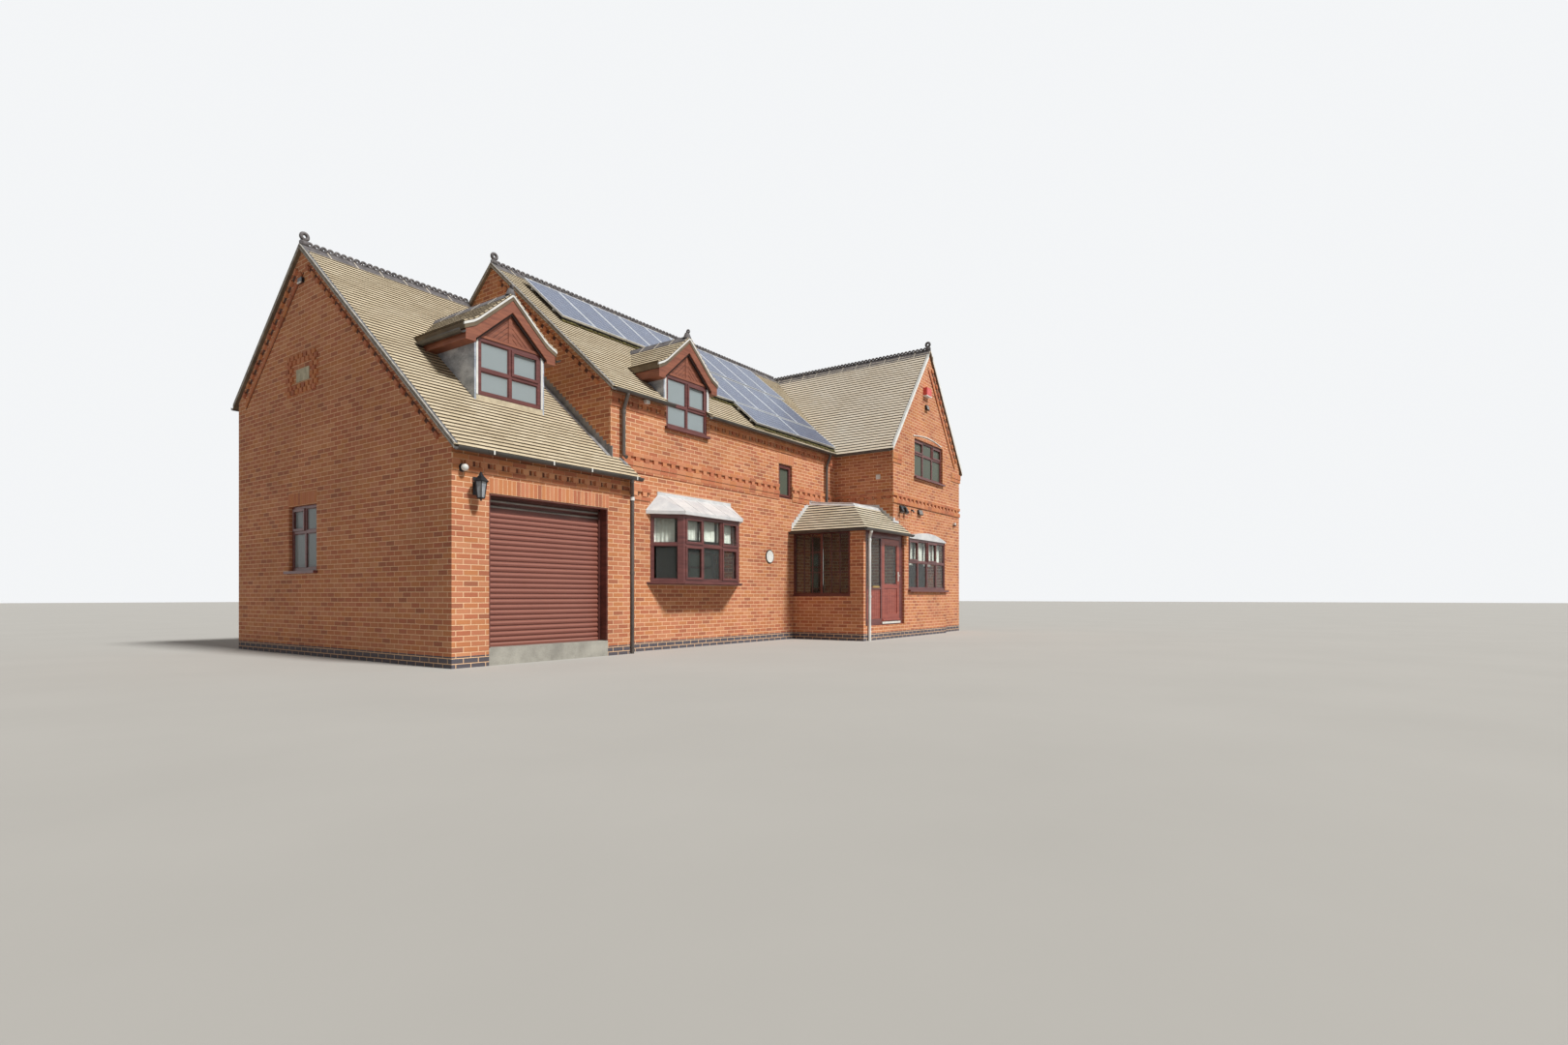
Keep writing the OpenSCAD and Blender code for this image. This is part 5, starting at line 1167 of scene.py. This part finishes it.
def addBands():
    bricks, beds, paintedShadows, lit, soldiers, soldierBeds = newMeshes(6)
    for k, (axis, start, end, face, side, courses, dentils) in enumerate(bandRows):
        for z, tall, out in courses:
            courseRun(bricks, beds, axis, start, end, face, side, z, tall, out, 60 + k)
        if dentils:
            z, first, count, pitch = dentils
            # the garage dentils take the lighter brick, painted light
            dentilRun(lit if courses == garageCourses else bricks, axis, face, side, *dentils, 0.028, 80 + k)
            if courses in (garageCourses, eavesCourses):
                # painted shadow: a dark block beside each dentil
                spot = (first + 0.078, face + side * 0.002, z + 0.036)
                blockLine(paintedShadows, axis, count, pitch, spot, (0.062, 0.005, 0.07), 0.05, 97)
    dentilRun(lit, "x", -0.29, -1, 2.51, -3.025, 1, 1, 0.028, 79)
    # a thin dark upright on the wing front, from the band to the porch roof, in the same dark finish
    slab(paintedShadows, (7.715, 7.727), (h["wingFront"] - 0.003, h["wingFront"] + 0.004), (2.52, 2.985))
    for k, row in enumerate(soldierRows):
        soldierRun(soldiers, soldierBeds, *row, 91 + k)
    for k, (first, count, z) in enumerate(plaqueRows):
        dentilRun(soldiers, "y", -3.08, -1, z, first, count, 0.15, 0.018, 120 + k)
    for bm, name, finish in ((lit, "dentilBricks", "paintedLitBrick"), (bricks, "bandBricks", "brickUnit"),
                             (beds, "bandMortar", "mortarRed"), (paintedShadows, "bandGaps", "paintedGapShadow"),
                             (soldiers, "soldierBricks", "brickUnit"), (soldierBeds, "soldierMortar", "mortarRed")):
        makePiece(bm, name, finish)


# heights of the roof planes
def garageLine(y):
    return h["garageEaveZ"] + h["slope"] * (y - h["garageEaveY"])


def mainLine(y):
    return h["ridgeZ"] - h["slope"] * abs(y - h["ridgeY"])


def wingLine(x):
    return h["ridgeZ"] - h["wingSlope"] * abs(x - h["wingRidge"])


def leftLine(y):
    return min(garageLine(y), h["ridgeZ"] - h["slope"] * (y - h["ridgeY"]))


def addRakes(drop=0.06):
    bricks, beds, paintedShadows = newMeshes(3)
    leftPeak, wingPeak = h["garageRidgeY"], h["wingRidge"]
    for axis, face, side, line, low, high, seed, course in (
            ("y", -3.08, -1, leftLine, -0.2, leftPeak - 0.16, 101, 0.0),
            ("y", -3.08, -1, leftLine, 6.5, leftPeak + 0.16, 103, 0.3),
            ("y", 0.0, -1, mainLine, 0.1, h["ridgeY"] - 0.16, 105, 0.0),
            ("x", h["wingFront"], -1, wingLine, 11.64, wingPeak + 0.16, 107, 0.3),
            ("x", 6.62, 1, wingLine, 7.58, wingPeak - 0.16, 109, 0.3),
            ("x", 6.62, 1, wingLine, 11.64, wingPeak + 0.16, 111, 0.3)):
        rakeRun(bricks, beds, paintedShadows, axis, face, side, (low, line(low) - drop), (high, line(high) - drop), seed, course)
    makePiece(bricks, "rakeBricks", "brickUnit")
    makePiece(paintedShadows, "rakeGaps", "paintedRakeShadow")
    makePiece(beds, "rakeMortar", "mortarRed")


addBands()
addRakes()
print("brick bands laid")

# verges, flashings and the porch's lead top
verges = {"deep": 0.024, "drop": 0.014, "tall": 0.034, "capWide": 0.045, "capLift": 0.032, "capDeep": 0.07}


# a strip beside the line from a to b, between two heights over it
def stripAlong(bm, a, b, high, low, near, far, axis):
    prism(bm, [(a[0], a[1] + high), (b[0], b[1] + high), (b[0], b[1] + low), (a[0], a[1] + low)],
          *sorted((near, far)), axis)


def addVerges():
    grey, white, dark = newMeshes(3)
    v, left = verges, h["leftVerge"]
    peak, top = (h["garageRidgeY"], h["garageRidgeZ"]), (h["ridgeY"], h["ridgeZ"])
    for a, b, face in (((h["garageEaveY"], h["garageEaveZ"]), peak, left), (peak, (h["backEave"], h["eaveZ"]), left),
                       ((h["frontEave"], h["eaveZ"]), top, h["mainVerge"]), (top, peak, h["mainVerge"])):
        stripAlong(grey, a, b, -v["drop"], -v["drop"] - v["tall"], face - 0.006, face + v["deep"], "x")
        stripAlong(grey, a, b, 0.034, 0.004, face - 0.004, face + 0.02, "x")
        stripAlong(dark, a, b, 0.034, 0.004, face + 0.0205, face + 0.055, "x")
    for face, side in ((h["wingVerge"], -1), (h["backVerge"], 1)):
        for eave, inward in ((h["wingEave"], 1), (h["wingRightEave"], -1)):
            a = (eave + inward * 0.02, h["eaveZ"] + 0.026)
            b = (h["wingRidge"] - inward * 0.13, h["ridgeZ"] - 0.17)
            high = v["capLift"] * math.hypot(b[0] - a[0], b[1] - a[1]) / abs(b[0] - a[0])
            for low, near, far in ((0.006, 0.003, -v["capWide"]), (-v["capDeep"], 0.008, -0.002)):
                stripAlong(white, a, b, high, low, face + side * near, face + side * far, "y")
    makePiece(grey, "vergeMortar", "vergeGrey")
    makePiece(dark, "vergeStrips", "leadDark")
    makePiece(white, "wingVerges", "whitePlastic")


# stepped lead that climbs a wall beside a roof
def stepFlash(bm, start, end, line, tall, axis, face, rise=0.0878):
    x, step = start, rise * (1 if end > start else -1)
    while (end - x) * step > 0:
        low, high = line(x), line(x + step)
        outline = [(x, low), (x + step, high), (x + step, high + tall), (x + step * 0.25, high + tall),
                   (x, low + tall * 0.8)]
        prism(bm, outline, face - 0.0065, face - 0.0005, axis)
        x += step


def topLevel(y):
    return p["topZ"] - p["topRise"] / topEdge * (y - topEdge)


def addFlashings():
    lead, pale, top, sides = newMeshes(4)
    stepFlash(lead, 0.0, 3.6, lambda y: garageLine(y) + 0.015, 0.125, "x", 0.0)
    stripAlong(lead, (-0.02, garageLine(-0.02)), (1.96, garageLine(1.96)), 0.03, 0.02, -0.1, 0.0, "x")
    makePiece(lead, "gableFlashing", "leadWorn")
    slab(pale, (-0.012, 0.001), (-0.055, 0.0), (garageLine(-0.05) + 0.02, garageLine(-0.05) + 0.22))
    stripAlong(pale, (-0.19, garageLine(-0.19)), (-0.03, garageLine(-0.03)), 0.027, 0.019, 0.16, 0.25, "x")
    makePiece(pale, "pipeApron", "leadSheet")

    front, wall, near, far, drop = topEdge, p["wall"] - 0.001, p["left"] + p["run"], p["left"] + p["wallRun"], 0.08
    low, high, lip, rim, back = topLevel(front), topLevel(0), front - 0.075, front - 0.0205, -0.001
    fall, flank = low - 0.064 * p["slope"] + 0.012, drop * p["slope"] - 0.014
    for corners in (
            [(near - 0.02, front - 0.02, low + 0.004), (wall, front - 0.02, low + 0.004), (wall, back, high + 0.006),
             (far - 0.02, back, high + 0.006)],
            [(near - 0.06, lip, fall), (wall, lip, fall), (wall, rim, low + 0.004), (near - 0.02, rim, low + 0.004)],
            [(near - drop, lip, low - flank), (near - 0.0205, rim, low + 0.006), (far - 0.0205, back, high + 0.006),
             (far - drop, back, high - flank)]):
        leadSheet(top, corners, 0.018)
    rollLow, rollHigh, corner = low + 0.022, high + 0.024, (near - 0.02, front - 0.02, low + 0.022)
    tube(top, [corner, (far - 0.02, -0.002, rollHigh)], 0.017, 10)
    tube(top, [corner, (wall, front - 0.02, rollLow)], 0.017, 10)
    for x in (6.62, 6.95, 7.26):
        tube(top, [(x, front - 0.03, rollLow), (x, -0.002, rollHigh)], 0.016, 10)
    slab(top, (far, wall), (-0.01, back), (high + 0.01, high + 0.1))
    stepFlash(top, p["left"] + 0.02, far, lambda x: p["eaveZ"] + p["slope"] * (x - p["left"]) + 0.012, 0.105, "y", 0.0)
    face = p["wingFront"]
    prism(top, [(face - 0.012, 2.508), (face - 0.0008, 2.516), (face - 0.0008, 2.56), (face - 0.008, 2.56)],
          p["wall"], p["right"] - 0.01, "x")
    prism(top, [(face - 0.008, 2.56), (face - 0.0008, 2.56), (face - 0.0008, 2.63), (face - 0.006, 2.63)],
          p["wall"], p["wall"] + 0.09, "x")
    makePiece(top, "porchTop", "leadPale")
    stepFlash(sides, face, front, lambda y: p["eaveZ"] + p["slope"] * (y - p["front"]) + 0.012, 0.07, "x", p["wall"])
    stripAlong(sides, (front, low), (-0.012, high), 0.12, 0, p["wall"] - 0.0075, p["wall"] - 0.0006, "x")
    makePiece(sides, "porchFlashing", "leadPale")


addVerges()
addFlashings()
print("verges and flashings made")

# rainwater pipes with swan necks, shoes and collars, and the gutter clips
pipes = {"radius": 0.034, "sides": 14, "collar": 0.041, "neck": 0.06, "pitch": 1.25}
pipeRows = [  # outlet x, y and z, wall x and y, height where it meets the wall, foot, shoe
    (0.245, -0.166, 4.25, 0.245, -0.0623, 3.95, 3.17, True), (0.03, -0.486, 2.7, 0.2323, -0.28, 2.42, -0.25, False),
    (6.995, -0.166, 4.25, 6.995, -0.0623, 3.95, 3.0, True), (0.2996, 6.786, 4.25, 0.2996, 6.6543, 3.95, -0.25, False),
    (7.1155, 6.786, 4.25, 7.1155, 6.6543, 3.95, -0.25, False),
]


def pipeRun(bm, gutterX, gutterY, gutterZ, x, wallY, meets, foot, shoe=False):
    path = [(gutterX, gutterY, gutterZ), (gutterX, gutterY, gutterZ - pipes["neck"]), (x, wallY, meets),
            (x, wallY, foot)] + [(x, wallY - 0.07, foot - 0.05)] * shoe
    tube(bm, path, pipes["radius"], pipes["sides"])
    z = meets - 0.02
    while z > foot + 0.1:
        upright(bm, x, wallY, z - 0.05, z, pipes["collar"], pipes["sides"])
        z -= pipes["pitch"]


def addPipes():
    dark, pale, clips = newMeshes(3)
    for row in pipeRows:
        pipeRun(dark, *row)
    makePiece(dark, "rainPipes", "pipeBrown", replaces=["downpipes"])
    pipeRun(pale, 5.665, -1.996, 2.2, 5.816, -1.8743, 2.02, -0.25)
    makePiece(pale, "porchPipe", "paleDrain")
    for x in (-2.6, -1.6, -0.87, 0.1):
        slab(clips, (x - 0.011, x + 0.011), (-0.547, -0.5425), (2.672, 2.728))
    upright(clips, 0.2323, -0.28, 2.36, 2.42, 0.043, 14)
    makePiece(clips, "gutterClips", "whitePlastic")


addPipes()

# fittings on the walls
fittings = {"lantern": (-2.74, -0.44, 2.06), "ball": (-2.93, -0.36, 2.471), "ballRadius": 0.049, "plate": (4.65, 1.61),
            "floods": ((9.42, 5.655, 0.16), (8.98, 2.875, 0.24)), "tilt": -14, "spots": (7.85, 8.11)}


def addFittings():
    metal, pane, white, grey, letter, step = newMeshes(6)
    x, y, z = fittings["lantern"]
    tube(metal, [(x, -0.3, z + 0.2), (x, -0.36, z + 0.26), (x, -0.41, z + 0.34), (x, y, z + 0.35)], 0.008, 10)
    lathe(metal, (x, y, z), [(0.228, 0.1), (0.238, 0.11), (0.262, 0.086), (0.3, 0.05), (0.335, 0.02), (0.35, 0.022),
                             (0.362, 0.012), (0.375, 0.002)], 6)
    lathe(metal, (x, y, z), [(-0.035, 0.004), (-0.02, 0.014), (-0.008, 0.012), (0.0, 0.052), (0.014, 0.056)], 6)
    for c, e in circle(6):
        tube(metal, [(x + 0.053 * c, y + 0.053 * e, z + 0.01), (x + 0.084 * c, y + 0.084 * e, z + 0.232)], 0.006, 6)
    lathe(pane, (x, y, z), [(0.012, 0.049), (0.231, 0.078)], 6)
    bx, by, bz = fittings["ball"]
    bmesh.ops.create_uvsphere(white, u_segments=24, v_segments=16, radius=fittings["ballRadius"],
                              matrix=Matrix.Translation((bx, by, bz)))
    px, pz = fittings["plate"]
    for bm, path, radius, sides in (
            (metal, [(bx, -0.31, bz), (bx, -0.291, bz)], 0.058, 20),
            (metal, [(bx, -0.312, bz), (bx, -0.33, bz)], 0.03, 14),
            (metal, [(8.5, -1.6255, 2.9), (8.5, -1.68, 2.88), (8.49, -1.7, 2.84)], 0.022, 10),
            (white, [(-3.13, 3.99, 5.945), (-3.13, 4.11, 5.945)], 0.012, 10),
            (white, [(8.62 + 0.15 * k, -1.632, 4.8 + 0.08 * math.sin(math.pi * k / 12)) for k in range(13)], 0.014, 8),
            (metal, [(px, -0.0005, pz), (px, -0.016, pz)], 0.15, 32),
            (white, [(px, -0.0165, pz), (px, -0.021, pz)], 0.132, 32)):
        tube(bm, path, radius, sides)
    slabs(white, ((9.225, 9.535), (-1.737, -1.6255), (5.93, 5.952)), ((7.462, 7.4895), (-1.283, -1.173), (3.58, 3.69)),
          ((0.755, 0.845), (-0.1, -0.029), (4.165, 4.225)), ((11.26, 11.34), (-1.69, -1.626), (2.74, 2.8)))
    slabs(metal, ((x - 0.03, x + 0.03), (-0.302, -0.2905), (z + 0.06, z + 0.31)),
          ((11.27, 11.33), (-1.7, -1.626), (2.71, 2.739)), ((7.8, 8.16), (-1.66, -1.6255), (2.9, 2.95)),
          ((-3.125, -3.081), (3.975, 4.125), (5.95, 6.03)))
    for fx, fz, wide in fittings["floods"]:
        slab(metal, (fx - 0.02, fx + 0.02), (-1.65, -1.6255), (fz - 0.05, fz + 0.08))
        lean = Matrix.Translation((fx, -1.655, fz)) @ Matrix.Rotation(math.radians(fittings["tilt"]), 4, "X")
        slab(metal, (-wide / 2, wide / 2), (-0.028, 0.016), (-0.062, 0.062), lean)
        slab(grey, (-wide / 2 + 0.012, wide / 2 - 0.012), (-0.031, -0.0285), (-0.05, 0.05), lean)
    for x in fittings["spots"]:
        tube(metal, [(x, -1.65, 2.93), (x, -1.68, 2.88)], 0.024)
        tube(metal, [(x, -1.665, 2.9), (x - 0.035, -1.715, 2.78)], [0.034, 0.058], 14)
        tube(grey, [(x - 0.0345, -1.7143, 2.7805), (x - 0.0362, -1.7167, 2.777)], 0.05, 14)
    slabs(letter, ((6.12, 6.44), (-1.797, -1.7905), (0.925, 0.965)), ((6.14, 6.42), (-1.8, -1.7972), (0.932, 0.958)))
    makePiece(letter, "letterPlate", "brassWork", bevel=0.001)
    slab(step, (6.56, 7.5), (-1.815, -1.7905), (0.1, 0.146))
    makePiece(step, "porchSill", "palePlate", bevel=0.002)
    makePiece(metal, "lampMetal", "blackMetal", replaces=["wall_lanterns"])
    makePiece(pane, "lanternGlass", "lampGlass")
    makePiece(white, "whiteLamps", "whitePlastic", replaces=["white_fittings"])
    makePiece(grey, "lampFaces", "greySeal")


addFittings()


# seams on the canopies, and a skirt and moss under the panels
def addCanopies(pitch=0.425):
    rolls, moss, dark = newMeshes(3)
    for k in range(5):
        low, high = b["left"] + 0.39 + k * pitch, b["left"] + 0.4 + k * pitch * 0.98
        tube(rolls, [(low, -0.503, 2.262), (low, -0.5, 2.276), (high, -0.012, 2.578)], 0.009, 8)
    for low, high in ((b["left"] - 0.112, 1.14), (b["right"] + 0.112, 3.24)):
        tube(rolls, [(low, -0.004, 2.276), (high, -0.012, 2.576)], 0.009, 8)
    slab(rolls, (b["left"] + 0.17, b["right"] - 0.17), (-0.014, -0.001), (2.575, 2.64))
    makePiece(rolls, "bayRolls", "leadPale")
    for k, row in enumerate(solar["rows"]):
        x0, wide, long, top, count = row[:5]
        turn, clumps, under = solarPlane(top), bmesh.new(), (0.022, solar["lift"] - 0.002)
        slab(dark, (x0 + 0.02, x0 + count * wide - 0.03), (-long + 0.01, -long + 0.03), under, turn)
        addBlocks(clumps, int(count * wide / 0.11), (x0 + 0.06, -long - 0.012, 0.032), (0.11, 0, 0), (0.1, 0.05, 0.026),
                  jitter=0.45, seed=140 + k, finish="moss")
        bmesh.ops.transform(clumps, matrix=turn, verts=clumps.verts)
        pour(clumps, moss)
    makePiece(dark, "solarSkirt", "blackMetal")
    makePiece(moss, "solarMoss", "moss", bevel=0.006)


addCanopies()

# cloth behind the bay glass
cloth = {"deep": 0.03, "folds": 0.075, "rows": 14, "column": 0.02}


def hungCloth(name, foot, turn, wide, low, high, seed):
    rows, columns = cloth["rows"], max(8, int(wide / cloth["column"]))
    bm, place, grid = bmesh.new(), facing(*foot, turn), []
    for j in range(rows + 1):
        z = high - (high - low) * j / rows
        swell = cloth["deep"] * 0.5 * (0.35 + 0.65 * j / rows)
        grid.append([])
        for i in range(columns + 1):
            u = wide * i / columns
            depth = swell * math.sin(math.tau * u / cloth["folds"] + seed + 0.4 * math.sin(3 * z + seed))
            grid[-1].append(bm.verts.new(place @ Vector((u, depth, z))))
    for upper, lower in zip(grid, grid[1:]):
        for i in range(columns):
            bm.faces.new((upper[i], lower[i], lower[i + 1], upper[i + 1]))
    length, foldedLength = (sum((q.co - r.co).length for q, r in zip(row[1:], row)) for row in (grid[0], grid[-1]))
    piece = makePiece(bm, name, "blindCloth", smooth=True)


def addCloths():
    pitch = (b["right"] - b["left"] - 2 * b["out"] - 0.1) / 3
    for k in range(3):
        hungCloth("bayBlind%d" % (k + 1), (b["left"] + b["out"] + 0.09 + k * pitch, -b["out"] + 0.14), 0, pitch - 0.08,
                  1.78, 2.16, k)
    hungCloth("bayBlind4", (b["left"] + 0.12, 0.06), -45, 0.4, 1.72, 2.16, 3)
    for k in range(4):
        hungCloth("flatCurtain%d" % (k + 1), (7.97 + k * 0.56, -1.69), 0, 0.44, 1.62 if k % 2 else 1.5, 2.09,
                  5 + k)


addCloths()
print("pipes, fittings and cloth made")

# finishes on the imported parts
carried = {
    "concrete": "ground_floor", "floorBoards": "first_floor",
    "brickFront": "garage_front_wall main_front_wall wing_front_wall",
    "brickLeft": "garage_left_wall main_left_gable wing_left_wall", "brickBack": "back_wall wing_back_wall",
    "brickRight": "wing_right_wall", "brickAll": "porch_walls flat_bay_base", "cheekLead": "dormer_cheeks",
    "roofDeck": "garage_roof main_roof wing_roof porch_roof dormer_roofs", "boardDark": "dormer_gables",
    "boardPaint": "dormer_boards", "gutterGrey": "gutters", "pipeBrown": "downpipes", "brightMetal": "solar_panels",
    "rollerSteel": "roller_door", "glass": "canted_bay_glass flat_bay_glass porch_glass door_glass",
    "rosewood": "canted_bay_frame flat_bay_frame window_frames window_sills porch_frames porch_door",
    "leadPale": "canted_bay_canopy flat_bay_canopy", "paintedSkyGlass": "window_glass", "brassWork": "door_handle",
    "redPlastic": "alarm_box", "blackMetal": "wall_lanterns", "whitePlastic": "white_fittings",
    "paleStone": "stone_plaque", "ridgeClay": "ridge_tiles",
}
for finish, names in carried.items():
    for name in names.split():
        mesh = nodes[name].data
        if mesh.materials:
            mesh.materials[0] = finishes[finish]
        else:
            mesh.materials.append(finishes[finish])
print("packed parts finished")

# floor, light and camera
studio = {"key": 3.82, "keyWidth": 0.16, "keyTint": (0.97, 0.98, 0.96), "keyFrom": (0.05, -0.66, 0.75), "fill": 0.15,
          "fillTint": (1.0, 0.9, 0.82, 1), "sky": 0.93, "skyTint": (0.97, 0.985, 1.0, 1), "half": 150,
          "floor": [(0.2, (180, 177, 172)), (0.8, (186, 183, 178))]}
view = {"lens": 17.187, "sensor": 36, "shiftY": 0.0474, "clip": (0.1, 400), "place": (-8.833, -9.640, 0.719),
        "turn": -55.55}


def makeFloor():
    far = studio["half"]
    mesh = bpy.data.meshes.new("studioFloor")
    mesh.from_pydata([(-far, -far, 0), (far, -far, 0), (far, far, 0), (-far, far, 0)], [], [(0, 1, 2, 3)])
    floor = linkObject("studioFloor", mesh)
    tree, shade, place = blank("floorFinish", 0.9)
    link(ramp(tree, noise(tree, place, 0.5, 4), studio["floor"]), shade, "Base Color")
    mesh.materials.append(finishes["floorFinish"])


def makeLight():
    lamp = bpy.data.lights.new("keyLight", "SUN")
    lamp.energy, lamp.angle, lamp.color = studio["key"], studio["keyWidth"], studio["keyTint"]
    key = linkObject("keyLight", lamp)
    key.rotation_euler = Vector(studio["keyFrom"]).to_track_quat("Z", "Y").to_euler()
    world = bpy.context.scene.world = bpy.data.worlds.new("studio")
    world.use_nodes = True
    tree = world.node_tree
    tree.nodes.clear()
    direct, glossy, through = (get(tree, "ShaderNodeLightPath", output="Is %s Ray" % kind)
                               for kind in ("Camera", "Glossy", "Transmission"))
    seen = direct.calc("MAXIMUM", glossy.calc("MAXIMUM", through))
    strength = seen * (studio["sky"] - studio["fill"]) + studio["fill"]
    tint = blend(tree, seen, studio["fillTint"], studio["skyTint"])
    back = get(tree, "ShaderNodeBackground", {"Color": tint, "Strength": strength})
    addNode(tree, "ShaderNodeOutputWorld", {0: back})


def makeCamera():
    lens = bpy.data.cameras.new("photoCamera")
    lens.sensor_width, lens.lens, lens.shift_y = view["sensor"], view["lens"], view["shiftY"]
    lens.clip_start, lens.clip_end = view["clip"]
    camera = linkObject("photoCamera", lens)
    camera.location = origin + Vector(view["place"])
    camera.rotation_euler = (math.radians(90), 0, math.radians(view["turn"]))
    bpy.context.scene.camera = camera


makeFloor()
makeLight()
makeCamera()
bpy.context.scene.view_settings.view_transform = "Standard"

print("scene ready")
